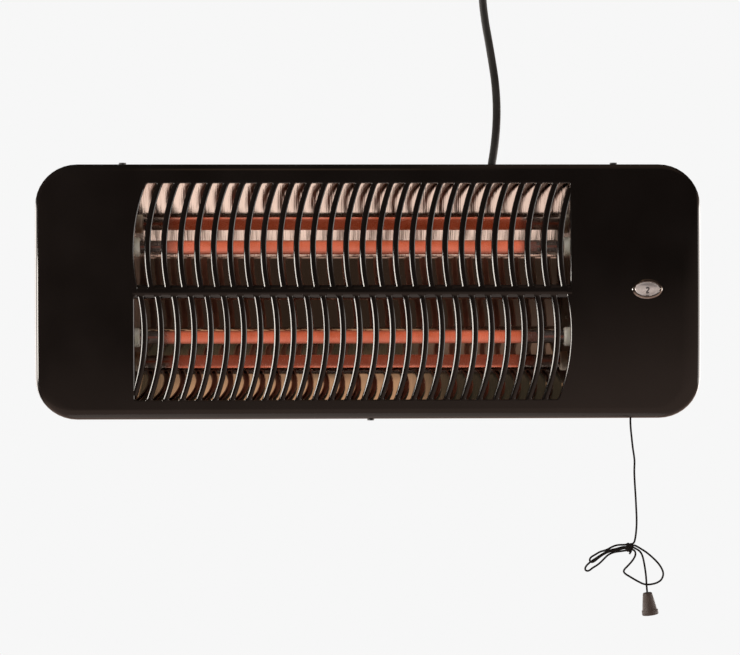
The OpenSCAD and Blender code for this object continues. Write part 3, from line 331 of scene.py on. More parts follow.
def surface(name, patterns, follows, own_uv=False, **shader):
    """A material with named patterns, each of them noise on Object coordinates, or on the
    piece's own UV, from (grain in mm, detail, and how far it is drawn out along each axis).
    The shader's inputs follow them by the rules that feed takes."""
    material = bpy.data.materials.new(name)
    material.use_nodes = True
    tree = material.node_tree
    tree.nodes.clear()
    principled = add(tree, "ShaderNodeBsdfPrincipled", shader)
    add(tree, "ShaderNodeOutputMaterial", {"Surface": principled.outputs["BSDF"]})
    if own_uv:
        place = add(tree, "ShaderNodeUVMap", name="place", uv_map="along").outputs["UV"]
    else:
        place = add(tree, "ShaderNodeTexCoord", name="place").outputs["Object"]
    for key, (grain_mm, detail, *drawn_out) in patterns.items():
        scale = [1 / times for times in drawn_out or (1, 1, 1)]
        mapped = add(tree, "ShaderNodeMapping", {"Vector": place, "Scale": scale}).outputs[0]
        feeds = {"Vector": mapped, "Scale": 1000 / grain_mm, "Detail": detail}
        add(tree, "ShaderNodeTexNoise", feeds, name=key)
    feed(material, follows)
    return material


def feed(material, rules):
    """Feeds inputs of a material's shader: each from a link, or from a pattern and two ends
    as in follow, and Normal from a height, its depth in mm and perhaps the normal below."""
    tree = material.node_tree
    inputs = tree.nodes["Principled BSDF"].inputs
    for key, rule in rules.items():
        if key == "Normal":
            height, depth_mm, *below = rule
            bump = {"Height": height, "Distance": depth_mm * MM} | dict(zip(["Normal"], below))
            rule = add(tree, "ShaderNodeBump", bump).outputs["Normal"]
        elif isinstance(rule, tuple):
            rule = follow(tree, *rule)
        tree.links.new(rule, inputs[key])


def shade(rgb, share):
    """A colour made lighter or darker by a share, as linear RGBA."""
    return (*[min(1.0, value * share) for value in rgb[:3]], 1.0)


def lift(rgb, amount):
    """A colour made paler by an amount."""
    return (*[min(1.0, value + amount) for value in rgb[:3]], 1.0)


def shades(rgb, darker, lighter):
    """Two shades of a colour."""
    return shade(rgb, darker), shade(rgb, lighter)


def black_enamel():
    """Black stove enamel sprayed on deep-drawn steel and baked: a hard gloss with a faint
    orange peel about 2 mm across, and a few duller patches where it has been wiped. The side
    that faces the wall is matt and painted pale: painted light from the glow on the slats' backs."""
    base = bpy.context.scene.heater_colours.enamel
    patterns = {"patches": (60, 2), "peel": (2.2, 2), "dust": (0.7, 1)}
    material = surface("enamel_stoved_black", patterns, {"Normal": ("peel", 0.004)}, IOR=1.5)
    tree = material.node_tree
    normal = tree.nodes["place"].outputs["Normal"]
    facing = add(tree, "ShaderNodeSeparateXYZ", {"Vector": normal}).outputs["Y"]
    coat = follow(tree, "patches", *shades(base, 0.85, 1.25))
    gloss = follow(tree, "patches", 0.09, 0.14)
    wall_side_matt = follow(tree, facing, 0.0, 0.5, 0.5, 0.8)
    speck = follow(tree, "dust", 0.0, 0.12, 0.66, 0.78)
    dull = chained(tree, "ShaderNodeMath", gloss, wall_side_matt, speck, operation="ADD")
    # the side that faces the wall is painted pale: painted light, standing in for the glow on the
    # slats' backs
    feed(material, {"Base Color": (facing, coat, "#b0a69d", 0.5, 0.8), "Roughness": dull})
    return material


def powder_coat(name, code, rough):
    """Powder coating baked on sheet steel: satin, with a fine even pebble about half a
    millimetre across, and slightly paler where the coat is thin."""
    return surface(name, {"pebble": (0.6, 2), "cloud": (45, 3)}, {
        "Base Color": ("cloud", *shades(linear(code), 0.8, 1.3)),
        "Roughness": ("pebble", rough - 0.06, rough + 0.08), "Normal": ("pebble", 0.03),
    }, IOR=1.5)


def bright_aluminium():
    """Bright-rolled, anodised aluminium sheet, bent and not pressed: nearly a mirror, with
    rolling lines up the sheet that blur it sideways, most of all on the upper reflector's
    upper wall, and slightly wavy from the heat. The lines are drawn ten times coarser than
    real so that they show."""
    base = bpy.context.scene.heater_colours.reflector
    patterns = {"lines": (0.8, 2, 1, 90, 90), "waves": (30, 1, 1.6, 1, 1), "haze": (40, 3)}
    material = surface("aluminium_bright_rolled", patterns, {
        "Base Color": ("haze", *shades(base, 0.93, 1.04)), "Roughness": ("lines", 0.045, 0.06),
    }, Metallic=1.0, Anisotropic=0.5, Tangent=(1.0, 0.0, 0.0))
    tree = material.node_tree
    wavy = add(tree, "ShaderNodeBump", {"Height": "waves", "Distance": 0.06 * MM})
    place = tree.nodes["place"].outputs["Object"]
    height = add(tree, "ShaderNodeSeparateXYZ", {"Vector": place}).outputs["Z"]
    blur = follow(tree, height, 0.04, 1.0, 0.028, 0.034)
    relief = chained(tree, "ShaderNodeMath", "lines", blur, operation="MULTIPLY")
    feed(material, {"Normal": (relief, 0.045, wavy.outputs["Normal"])})
    return material


def mill_aluminium():
    """Mill-finish aluminium sheet, as cut: grey, with soft rolling lines up the sheet."""
    return surface("aluminium_mill_finish", {"lines": (0.6, 3, 1, 1, 50), "stain": (18, 3)}, {
        "Base Color": ("stain", "#8d8680", "#b9b2aa"),
        "Roughness": ("lines", 0.32, 0.46), "Normal": ("lines", 0.01),
    }, Metallic=1.0)


def zinc_steel():
    """Zinc-plated steel, turned or rolled: cool grey with a cloudy, slightly iridescent skin."""
    return surface("steel_zinc_plated", {"cloud": (5, 3), "fine": (0.4, 2)}, {
        "Base Color": ("cloud", "#8e9196", "#bdb9ae"),
        "Roughness": ("fine", 0.26, 0.4), "Normal": ("fine", 0.006),
    }, Metallic=1.0)


def brass_turned():
    """Turned brass: warm yellow with fine tool lines and a little tarnish."""
    return surface("brass_turned", {"lines": (0.3, 2, 1, 8, 8), "tarnish": (4, 3)}, {
        "Base Color": ("tarnish", "#8a6c33", "#c9a75c"),
        "Roughness": ("tarnish", 0.45, 0.25), "Normal": ("lines", 0.006),
    }, Metallic=1.0)


def nickel_plate():
    """Nickel plate, polished: a pale, slightly soft mirror with hair-fine wiping marks."""
    return surface("nickel_plated", {"marks": (0.25, 2, 12, 1, 1), "cloud": (8, 2)}, {
        "Base Color": ("cloud", "#c9c5c3", "#e2e0df"), "Roughness": ("marks", 0.16, 0.24),
    }, Metallic=1.0)


def satin_chrome():
    """Satin chromium plate on moulded plastic: a soft grey mirror, darker in the grain."""
    return surface("chromium_satin_plate", {"grain": (0.3, 2), "cloud": (5, 2)}, {
        "Base Color": ("cloud", "#8b8682", "#a5a09c"), "Roughness": ("grain", 0.12, 0.2),
    }, Metallic=1.0)


def steatite():
    """Steatite ceramic, pressed and fired without glaze: warm white, matt, faintly sugary,
    browned a little by the heat."""
    return surface("steatite_fired", {"grain": (0.5, 3), "scorch": (9, 3)}, {
        "Base Color": ("scorch", "#e2d6bd", "#f7f0e0", 0.3, 0.55),
        "Roughness": ("grain", 0.5, 0.68), "Normal": ("grain", 0.02),
    }, IOR=1.55)


def quartz_glass():
    """Satin quartz tube, drawn: milky, so that the glow of the wire fills it. The glow fades
    out towards the ends and is a little blotchy. It is strongest on the side of the room and
    painted weaker towards the wall, as painted shade. The upper side is a deeper orange, and the
    lower side is painted lighter, as painted light from below."""
    glow = bpy.context.scene.heater_colours.glow
    patterns = {"blotch": (11, 2, 1, 3, 3), "milky": (14, 2, 3, 1, 1), "lines": (1.2, 2, 80, 1, 1)}
    material = surface("quartz_satin_drawn", patterns, {
        "Base Color": ("milky", "#8d827b", "#b3a8a1"),
        "Roughness": ("milky", 0.16, 0.26), "Normal": ("lines", 0.01),
    }, IOR=1.458, **{"Transmission Weight": 0.85, "Emission Strength": 0.48})
    tree = material.node_tree
    place = tree.nodes["place"].outputs
    x, y, _ = add(tree, "ShaderNodeSeparateXYZ", {"Vector": place["Object"]}).outputs
    # the glow fades at the tube's ends, and is painted weaker towards the wall: painted shade
    end_fade_and_painted_shade = chained(tree, "ShaderNodeMath", follow(tree, x, 0.0, 1.0, -0.192, -0.172),
                   follow(tree, x, 1.0, 0.0, 0.139, 0.148),
                   follow(tree, y, 1.0, 0.28, -0.0908, -0.0878), operation="MULTIPLY")
    hot = follow(tree, "blotch", shade(glow, 0.74), lift(glow, 0.03))
    upward = add(tree, "ShaderNodeSeparateXYZ", {"Vector": place["Normal"]}).outputs["Z"]
    # the lower side is painted lighter: painted light from below
    paler = follow(tree, upward, 0.0, 0.6, 0.3, -0.8)
    hot = follow(tree, paler, hot, lift(glow, 0.14), 0, 1)
    feed(material, {"Emission Color": (end_fade_and_painted_shade, BLACK, hot, 0, 1)})
    return material


def glowing_wire():
    """Coiled resistance wire at dull-orange heat: oxidised, so it is matt, and a little
    brighter in some turns than in others."""
    glow = bpy.context.scene.heater_colours.glow
    return surface("resistance_wire_glowing", {"heat": (16, 2, 1, 3, 3)}, {
        "Base Color": ("heat", "#8a4b33", "#a2603f"),
        "Emission Color": ("heat", shade(glow, 0.7), lift(glow, 0.05)),
        "Roughness": ("heat", 0.62, 0.78),
    }, **{"Emission Strength": 0.3})


def moulded(name, code, rough, ior=1.5, grain_mm=0.8, depth_mm=0.015):
    """Injection-moulded plastic with a spark-eroded grain: an even fine texture, and soft
    clouds of gloss where the mould has worn."""
    return surface(name, {"grain": (grain_mm, 2), "cloud": (14, 2)}, {
        "Base Color": ("cloud", *shades(linear(code), 0.88, 1.12)),
        "Roughness": ("cloud", rough - 0.07, rough + 0.07), "Normal": ("grain", depth_mm),
    }, IOR=ior)


def rubber_moulded():
    """Moulded rubber: as the sheath, without its lines."""
    return moulded("rubber_moulded", "#232326", 0.52, 1.52, 0.7, 0.02)


def rubber_sheath():
    """Extruded rubber sheath: dull black with faint draw lines along the cord, which come
    from the die, and a greyish bloom. In its UV a unit is a metre along the cord and a turn
    round it."""
    base = bpy.context.scene.heater_colours.rubber
    patterns = {"lines": (0.9, 2, 60, 1 / SHEATH_TURN, 1),
                "bloom": (12, 3, 3, 1 / SHEATH_TURN, 1)}
    return surface("rubber_extruded", patterns, {
        "Base Color": ("bloom", *shades(base, 0.85, 1.25)),
        "Roughness": ("bloom", 0.5, 0.62), "Normal": ("lines", 0.015),
    }, own_uv=True, IOR=1.52)


def cotton_braid():
    """Braided cotton cord: strands 0.5 mm wide cross each other in two directions, 4 each way
    round the cord with a full turn every 6 mm, matt and slightly fluffy. The strands are
    drawn a third wider than real so that they show."""
    base = bpy.context.scene.heater_colours.braid
    material = surface("cotton_braided", {}, {}, own_uv=True, Roughness=0.85, IOR=1.47,
                       **{"Specular IOR Level": 0.2})
    tree = material.node_tree
    uv = tree.nodes["place"].outputs["UV"]
    x, y, _ = add(tree, "ShaderNodeSeparateXYZ", {"Vector": uv}).outputs
    strands = 4 * 2 * math.pi
    along = chained(tree, "ShaderNodeMath", x, strands / 0.006, operation="MULTIPLY")
    around = chained(tree, "ShaderNodeMath", y, strands, operation="MULTIPLY")
    slants = [chained(tree, "ShaderNodeMath", along, around, operation=way)
              for way in ("ADD", "SUBTRACT")]
    waves = [add(tree, "ShaderNodeMath", {0: slant}, operation="SINE").outputs[0]
             for slant in slants]
    crossed = chained(tree, "ShaderNodeMath", *waves, operation="MULTIPLY")
    height = follow(tree, crossed, 0.0, 1.0, -1.0, 1.0)
    # the colour follows the height, so the hollows between the strands are painted darker: painted
    # shade
    feed(material, {"Base Color": (height, *shades(base, 0.55, 1.35)), "Normal": (height, 0.12)})
    return material


def glass_sleeving():
    """Varnished glass-fibre sleeving on the inner wires: pale buff, with a fine braid in
    bands 2 mm apart, which is a scale of 160 for a texture of 20 / (2 pi) bands a unit."""
    material = surface("glass_fibre_sleeving", {}, {}, own_uv=True, Roughness=0.6, IOR=1.5)
    tree = material.node_tree
    feeds = {"Vector": tree.nodes["place"].outputs["UV"], "Scale": 160.0, "Distortion": 2.0}
    weave = add(tree, "ShaderNodeTexWave", feeds, bands_direction="X").outputs["Fac"]
    # the colour follows the weave's height, so its hollows are painted darker: painted shade
    feed(material, {"Base Color": (weave, "#a79c80", "#d2c8ae"), "Normal": (weave, 0.08)})
    return material


def clear_lens():
    """Clear polystyrene lens, moulded: glossy, with a trace of haze."""
    return surface("polystyrene_clear", {"haze": (3, 2)}, {
        "Base Color": ("haze", "#f4f1f0", "#fdfcfc"), "Roughness": ("haze", 0.01, 0.05),
    }, IOR=1.59, **{"Transmission Weight": 1.0})


def silver_drum():
    """ABS drum lacquered in silver: metal flakes 0.3 mm across under a satin skin."""
    base = bpy.context.scene.heater_colours.drum
    return surface("abs_silver_lacquered", {"flake": (0.3, 2), "cloud": (6, 2)}, {
        "Base Color": ("flake", *shades(base, 0.85, 1.15)), "Roughness": ("cloud", 0.3, 0.42),
    }, Metallic=0.55, IOR=1.5)


def printed_ink():
    """Pad-printed ink: dark brown, slightly raised and uneven."""
    base = bpy.context.scene.heater_colours.digits
    return surface("ink_pad_printed", {"film": (0.6, 2)}, {
        "Base Color": ("film", *shades(base, 0.8, 1.2)), "Normal": ("film", 0.01),
    }, Roughness=0.5, IOR=1.5)


def painted_floor():
    """Matt floor paint in a warm pale tone, rolled on: almost plain, with a trace of roller
    texture. The reflectors show it."""
    return surface("floor_matt_pale", {"roller": (60, 2)}, {
        "Base Color": ("roller", "#d9c8c0", "#ddccc4"),
    }, Roughness=0.9)


BLACK = (0.0, 0.0, 0.0, 1.0)
# Metres round the mains lead's sheath
SHEATH_TURN = 0.0226
FINISHES = {}


def finish_of(kind, *arguments):
    """The material that a function makes, made once and kept."""
    key = (kind.__name__, *arguments)
    if key not in FINISHES:
        FINISHES[key] = kind(*arguments)
    return FINISHES[key]


def dress(finish, *nodes):
    """Gives carried-over CAD nodes a finish."""
    for name in nodes:
        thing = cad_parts[name]
        if not thing.material_slots:
            thing.data.materials.append(finish)
        for place in thing.material_slots:
            place.material = finish


# ---------------------------------------------------------------- routes, in millimetres

# The mains lead leaves the strain relief upwards and bends back to the wall
LEAD_START = np.array([116.3, -69.0, 118.12])
LEAD_ROUTE = np.array([
    [0, 0, 0], [0.5, 0, 4], [1.4, 0.3, 9], [3.1, 2.5, 20], [5, 8, 35], [6.4, 17, 51],
    [7.1, 29, 68], [6.7, 41, 86], [5, 50, 104], [2.4, 57, 124], [-0.6, 61.5, 144],
    [-2.8, 63.5, 164], [-3.5, 64, 184], [-3.5, 64, 205], [-3.5, 64, 226]]) + LEAD_START
# Its coil on the wall: pitch, least radius, turns inwards and turns outwards
COIL_PITCH, COIL_R_IN = 7.7, 29.5
COIL_IN, COIL_OUT = 3.0, 3.25
COIL_SAMPLES = 401
# The step up from the straight lead to the coil, and the step left from the coil to its tail
COIL_STEP = 7.2
TAIL_DROP = np.array([
    [0, 0, 0], [-8, 0, 0], [-18, 0.2, -0.5], [-28, 0.55, -1.5], [-38, 0.85, -2], [-48, 1, -2],
    [-56, 1, -2]])
PLUG_AXIS_Y = -18.8

CORD_EXIT = np.array([246.5, -72.0, -92.7])
# The heights between which the pull cord runs inside the casing
INSIDE_Z = -72.1, -92.1
# The hanging cord's X and Z, down to the knot
CORD_ROUTE = np.insert([
    [246.5, -92.7], [246.4, -103], [246.7, -113], [246.3, -121], [246.7, -129], [247.6, -138],
    [248.5, -146.5], [249.7, -154.5], [250.2, -160], [249.9, -169.2], [250.4, -181],
    [251.1, -192.2], [251.6, -202.5], [252, -212.2], [251.9, -220.8], [251.1, -229.4],
    [249.7, -236]], 1, CORD_EXIT[1], axis=1)
KNOT = np.array([244.7, CORD_EXIT[1], -240.6])
# The knot: half its length, its radius in the middle, its turns, and the degrees that its
# axis falls to the right
KNOT_HALF, KNOT_RADIUS, KNOT_TURNS, KNOT_LEAN = 3.3, 3.5, 4, 40
# From the knot's middle: two loops to the left, one to the right, and the drop to the knob,
# with short crossings through the knot between them
BOW = np.array([
    [3.6, 0, 3.4], [0.6, -0.7, 3.4],
    [-3.6, -1.3, 2.8], [-6, -1.4, 2.8], [-11, -1.5, 2.6], [-16, -1.5, 1], [-21.5, -1.5, -2],
    [-27.5, -1.5, -3.6], [-32, -1.5, -6.4], [-36, -1.5, -8.6], [-37.6, -1.5, -11.4],
    [-36.4, -1.5, -13.6], [-33.6, -1.5, -13.2], [-29.4, -1.5, -9.8], [-24, -1.5, -6],
    [-18.5, -1.5, -3.6], [-11, -1.5, -2], [-6, -1.5, -0.8], [-3.6, -1.4, -0.4],
    [0, -0.9, 0.2],
    [3.78, -1.5, 2.6], [5.88, -1.5, 2], [9.45, -1.5, 0], [17.85, -1.5, -5.6],
    [27.3, -1.5, -14.6], [31.92, -1.5, -22.6], [31.5, -1.5, -28], [28.77, -1.5, -31.6],
    [23.1, -1.5, -34], [15.33, -1.5, -34.6], [8.925, -1.5, -32], [1.05, -1.5, -27.4],
    [-4.62, -1.5, -23.8], [-5.46, -1.5, -21.4], [-2.1, -1.5, -17.8], [2.52, -1.5, -12.8],
    [5.88, -1.5, -7.4], [5.88, -1.5, -4], [3.99, -1.5, -1.6],
    [0.4, 0, -2.4],
    [-3.6, 1.3, -3], [-6, 1.5, -3.4], [-13.5, 1.5, -4.4], [-19.5, 1.5, -7], [-24, 1.5, -11.4],
    [-29, 1.5, -16], [-34, 1.5, -19], [-37.6, 1.5, -21.9], [-40.4, 1.5, -22],
    [-41.5, 1.5, -19.8], [-39.8, 1.5, -16.8], [-35.5, 1.5, -13], [-31, 1.5, -10],
    [-25, 1.5, -6.2], [-18.5, 1.5, -2.8], [-11, 1.5, -1], [-6, 1.5, 0.4], [-3.6, 1.4, 0.6],
    [0, 1, 0.6],
    [4.032, 1.4, 0.4], [5.824, 1.5, -0.8], [10.304, 1.5, -3.4], [12.992, 1.5, -8],
    [15.008, 1.5, -17.4], [16.352, 1.5, -27.6], [16.8, 1.5, -35.5], [17.136, 1.5, -39.6],
    [17.472, 1.5, -42.6]])

KNOB_PROFILE = np.array([
    [6.49, -21], [7.205, -20.85], [7.59, -20.5], [7.7, -20], [7.7, -16.9], [7.535, -16.5],
    [6.93, -16.25], [6.82, -15.9], [6.325, -12.5], [5.72, -8.7], [5.115, -5], [4.455, -1.1],
    [4.18, -0.4], [3.63, 0], [1.43, 0]])
# The knob's axis leans by this many degrees, with its lower end to the right
KNOB_LEAN = -8

INNER_LEAD = np.array([
    [116.3, -69, 88.5], [116.3, -69, 83.5], [119.8, -68, 77.5], [129.3, -66, 72],
    [150.3, -66, 71.5], [183.8, -66, 71.5], [195.8, -65, 69.5], [202.8, -63, 65],
    [205.8, -60, 58.8]])
WIRES = [np.array(wire, dtype=float) for wire in (
    [[222.3, -55.2, 26], [225.3, -55.2, 26], [229.6, -56.2, 20], [229.6, -57.2, 10],
     [234, -57.2, 6], [236.5, -57.2, 6]],
    [[205.3, -86, 42], [208.3, -85, 41], [213.3, -80, 30], [215.3, -74, 16], [233, -68, 8],
     [236.5, -68, 8]],
    [[205.3, -86, -42], [208.3, -85, -41], [213.3, -80, -30], [215.3, -74, -18],
     [233, -68, -10], [236.5, -68, -10]],
    [[202.8, -58, -20], [204.8, -56, -15], [202.8, -53.2, -8], [197.8, -51.2, -2],
     [191.8, -51.2, 0], [176.8, -51.2, 0], [0, -51.2, 0], [-206.8, -51.2, 0],
     [-224.8, -51.2, 0], [-239.3, -61.2, 8], [-242.3, -76, 30], [-239.3, -86, 42],
     [-235.3, -86, 42]],
    [[-235.3, -86, -42], [-239.3, -86, -42], [-243.3, -80, -20], [-243.3, -80, 10],
     [-243.3, -85, 32], [-240.3, -90, 38]])]


def mains_path():
    """The whole lead: up from the relief, 3 turns in and 3.25 turns out again at one pitch,
    a layer nearer the room after the turn, and the tail to the plug."""
    lead = through(LEAD_ROUTE, 6)
    centre = lead[-1] + [-COIL_R_IN - COIL_IN * COIL_PITCH, 0, COIL_STEP]
    turn = np.linspace(0, COIL_IN + COIL_OUT, COIL_SAMPLES)
    radius = COIL_R_IN + COIL_PITCH * np.abs(turn - COIL_IN)
    layer = np.clip((turn - COIL_IN) * 2 + 0.5, 0, 1)
    angle = 2 * np.pi * turn
    coil = centre + stacked(radius * np.cos(angle), -COIL_PITCH * layer, radius * np.sin(angle))
    tail_start = coil[-1] * [0, 1, 1] + [centre[0] - COIL_STEP, 0, 0]
    tail = TAIL_DROP * [1, PLUG_AXIS_Y - tail_start[1], 1] + tail_start
    return np.concatenate([lead, coil, through(tail, 6)]) * MM


def pull_path():
    """The whole pull cord: down to the knot, out and back in each loop of the bow, and down
    to the knob."""
    return softened(through(np.concatenate([CORD_ROUTE, BOW + KNOT]), 5)) * MM


def knot_path():
    """The knot: turns of radius r - x^2 / 10 round an axis that falls to the right, and a
    short end that sticks out below."""
    wraps = helix((0, 0, 0), 0, 1.0, -KNOT_HALF, KNOT_HALF, KNOT_TURNS, 20)
    wraps[:, 1:] *= KNOT_RADIUS - 0.1 * np.square(wraps[:, :1])
    stub = [[3.4, -2.2, -1.2], [3.6, -2.6, -3.0], [3.7, -2.8, -4.4]]
    turned = leaned(np.concatenate([wraps, stub]), KNOT_LEAN)
    return (softened(turned, 0.5, 0.9) + KNOT) * MM


# ---------------------------------------------------------------- the stage


class HEATER_OT_stage(bpy.types.Operator):
    """Sets the camera, the floor, the lamps and the plain surroundings"""

    bl_idname = "heater.stage"
    bl_label = "Stage"

    def execute(self, context):
        self.camera(context)
        self.surroundings(context)
        self.floor_and_lamps(context)
        context.scene.view_settings.view_transform = "Standard"
        return {"FINISHED"}

    def camera(self, context):
        """1.9 m in front of the heater, a little below it and 1.4 degrees to its left."""
        data = bpy.data.cameras.new("photo_camera")
        data.lens = 100.8
        data.sensor_width = 36
        camera = bpy.data.objects.new("photo_camera", data)
        context.scene.collection.objects.link(camera)
        camera.location = (-0.0458, -2.0134, -0.0332)
        camera.rotation_mode = "YXZ"
        pan, level, roll = (Matrix.Rotation(math.radians(degrees), 4, axis)
                            for axis, degrees in (("Z", -1.4), ("X", 90.0), ("Z", -0.12)))
        camera.rotation_euler = (pan @ level @ roll).to_euler("YXZ")
        context.scene.camera = camera

    def surroundings(self, context):
        """A pale room: white to the camera; in gloss, pale below, a warm board and a beam
        above, dim at the level of the heater, and bright to the heater's right and behind.
        The tones are linear RGBA, because some are brighter than white."""
        world = bpy.data.worlds.new("studio")
        context.scene.world = world
        world.use_nodes = True
        tree = world.node_tree
        tree.nodes.clear()
        way = add(tree, "ShaderNodeTexCoord").outputs["Generated"]
        x, y, z = add(tree, "ShaderNodeSeparateXYZ", {"Vector": way}).outputs
        # above: the board ends at a line in front, near the left end and right of the middle,
        # where the beam starts
        line = chained(tree, "ShaderNodeMath", y, z, operation="DIVIDE")
        board = chained(tree, "ShaderNodeMath", follow(tree, line, 0.0, 1.0, -0.3735, -0.3780),
                        follow(tree, x, 1.0, 0.0, -0.07, -0.078),
                        follow(tree, x, 1.0, 0.0, 0.042, 0.055), operation="MULTIPLY")
        beam = chained(tree, "ShaderNodeMath", follow(tree, line, 1.0, 0.0, -0.367, -0.371),
                       follow(tree, x, 0.0, 1.0, 0.042, 0.055), operation="MULTIPLY")
        above = follow(tree, board, (0.030, 0.026, 0.017, 1.0), (0.60, 0.37, 0.22, 1.0), 0, 1)
        above = follow(tree, beam, above, (0.17, 0.11, 0.08, 1.0), 0, 1)
        upright = follow(tree, z, (0.63, 0.45, 0.39, 1.0), above, -0.2, 0.2)
        # the dim side of the room, a little lighter below and to the right
        sideways = chained(tree, "ShaderNodeMath", x, 0.5, operation="MULTIPLY")
        slope = chained(tree, "ShaderNodeMath", sideways, z, operation="SUBTRACT")
        room = follow(tree, slope, (0.03, 0.02, 0.014, 1.0), (0.60, 0.42, 0.34, 1.0), 0.03, 0.32)
        steep = add(tree, "ShaderNodeMath", {0: z}, operation="ABSOLUTE").outputs[0]
        seen = follow(tree, steep, room, upright, 0.7, 0.9)
        # up to a little over the heater's height: a bright screen at its right, and the pale
        # wall at both sides of it
        left, right = (follow(tree, x, 0.0, 1.0, side * 0.35, side * 0.5) for side in (-1, 1))
        wall = follow(tree, y, 0.0, 1.0, -0.1, 0.0)
        screen = chained(tree, "ShaderNodeMath", follow(tree, y, 0.0, 1.0, -0.6, -0.5),
                         follow(tree, y, 1.0, 0.0, -0.14, -0.06), operation="MULTIPLY")
        height = chained(tree, "ShaderNodeMath", follow(tree, z, 1.0, 0.0, 0.07, 0.14),
                         follow(tree, z, 0.0, 1.0, -0.26, -0.18), operation="MULTIPLY")
        for side, depth, strength, green in (
                (left, wall, 5.0, 0.93), (right, screen, 6.0, 0.94), (right, wall, 6.0, 0.93)):
            share = chained(tree, "ShaderNodeMath", side, depth, height, operation="MULTIPLY")
            light = (strength, strength * green, strength * 0.88, 1.0)
            seen = follow(tree, share, seen, light, 0, 1)
        gloss, soft, white = (
            add(tree, "ShaderNodeBackground", {"Color": tone, "Strength": strength}).outputs[0]
            for tone, strength in ((seen, 1.0), (linear("#fbf8f5"), 0.62), (linear("#f7f7f7"), 1.0)))
        ray = add(tree, "ShaderNodeLightPath").outputs
        lit = add(tree, "ShaderNodeMixShader", {0: ray["Is Glossy Ray"], 1: soft, 2: gloss})
        clear = chained(tree, "ShaderNodeMath", ray["Is Camera Ray"], ray["Is Transmission Ray"],
                        operation="MAXIMUM")
        backdrop = add(tree, "ShaderNodeMixShader", {0: clear, 1: lit.outputs[0], 2: white})
        add(tree, "ShaderNodeOutputWorld", {"Surface": backdrop.outputs[0]})

    def floor_and_lamps(self, context):
        """A round pale floor below the view, a large soft lamp at the left, weaker ones at the
        right and behind, and a small bright screen beside the heater that lines its edges."""
        turn = circle(64)
        rim = stacked(0.5 * np.cos(turn), 0.5 * np.sin(turn) - 0.12, -0.9)
        floor = piece("studio_floor", rim, [list(range(64))], None, finish_of(painted_floor), None)
        for name, place, aim, size, power in (
                ("lamp_left", (-1.9, -1.5, 0.9), (0, -0.1, 0), (1.3, 1.3), 62),
                ("lamp_right", (2.0, -1.8, 0.3), (0, -0.1, 0), (1.0, 1.0), 24),
                ("lamp_behind", (0.6, 1.9, 1.0), (0, 0, 0), (1.4, 1.4), 19),
                ("screen_left", (-0.75, -0.39, -0.0475), (0, -0.39, -0.0475), (0.42, 0.225), 6.5)):
            data = bpy.data.lights.new(name, "AREA")
            data.shape = "RECTANGLE"
            data.size, data.size_y = size
            data.energy = power
            lamp = bpy.data.objects.new(name, data)
            context.scene.collection.objects.link(lamp)
            lamp.location = place
            lamp.visible_camera = False
            lamp.visible_glossy = name == "screen_left"
            if lamp.visible_glossy:
                data.color = (1.0, 0.93, 0.85)
            look = Vector(aim) - Vector(place)
            lamp.rotation_euler = look.to_track_quat("-Z", "Y").to_euler()


# ---------------------------------------------------------------- cords


class HEATER_OT_mains_lead(bpy.types.Operator):
    """Builds the mains lead with its coil, and finishes the tie and the plug on it"""

    bl_idname = "heater.mains_lead"
    bl_label = "Mains lead"

    def execute(self, context):
        sizes = context.scene.heater_sizes
        path = mains_path()
        lead = tube_piece("mains_lead_sheath", path, sizes.lead, None, finish_of(rubber_sheath),
                          "black_rubber", ("mains_lead", "mains_coil", "plug_tail"), 16)
        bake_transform(lead)
        dress(finish_of(rubber_moulded), "plug_body", "strain_relief")
        dress(finish_of(moulded, "nylon_black", "#1b1a1a", 0.45), "coil_tie")
        dress(finish_of(nickel_plate), "plug_pins")
        dress(finish_of(brass_turned), "plug_earth")
        return {"FINISHED"}


class HEATER_OT_pull_cord(bpy.types.Operator):
    """Builds the pull cord with its bow, its knot, its stretch inside and its knob"""

    bl_idname = "heater.pull_cord"
    bl_label = "Pull cord"

    def execute(self, context):
        diameter = context.scene.heater_sizes.cord
        path = pull_path()
        inside = np.linspace(*([*CORD_EXIT[:2], z] for z in INSIDE_Z), 9) * MM
        cord, knot, _ = (
            tube_piece(name, route, diameter, body, finish_of(cotton_braid), "cord_fabric",
                       replaced, 8)
            for name, route, body, replaced in (
                ("pull_cord_braid", path, "cord",
                 ("pull_cord", "pull_cord_bow", "pull_cord_drop")),
                ("pull_cord_knot", knot_path(), "cord", ("cord_knot",)),
                ("pull_cord_inside", inside, "puller", ("pull_cord_inner",))))
        self.knob(path[-1])
        return {"FINISHED"}

    def knob(self, top):
        """The knob: a profile of (radius, height over the cord's end) turned about an axis
        that leans, with its top at the end of the cord."""
        turn = circle(40)
        radius, height = KNOB_PROFILE[:, :1], KNOB_PROFILE[:, 1:]
        rings = stacked(radius * np.cos(turn), radius * np.sin(turn), height) * MM
        points, faces = closed_run(leaned(rings, KNOB_LEAN) + top)
        return piece("pull_knob_cover", points, faces, "cord",
                     finish_of(moulded, "phenolic_brown_black", "#342924", 0.6, 1.55, 0.6, 0.004),
                     "black_plastic", ("pull_knob",), crease=40)


# ---------------------------------------------------------------- the slotted front

# All in millimetres: the upper window's sides, of which the left one is bowed, the middle
# between both windows' sides, and the height at which the slats' bow is furthest left
WINDOW_X0, WINDOW_X1 = -215.28, 185.28
WINDOW_Z0, WINDOW_Z1 = 2.75, 99.55
WINDOW_X = (WINDOW_X0 + WINDOW_X1) / 2
WINDOW_CORNER = 1.5
SLAT_X0 = WINDOW_X0 - 0.3
SLATS = 26
# How far the slats lie behind the plate, and how much their edges' widths vary
SLAT_SUNK, SLAT_VARIES = 0.03, 0.16
BOW_Z = 38.0
# The slats' narrower edge as a share of the wider one, and the radius of the slots' corners
# away from the bar as a share of that at the bar
NARROW_SHARE, FAR_SHARE = 0.62, 0.5
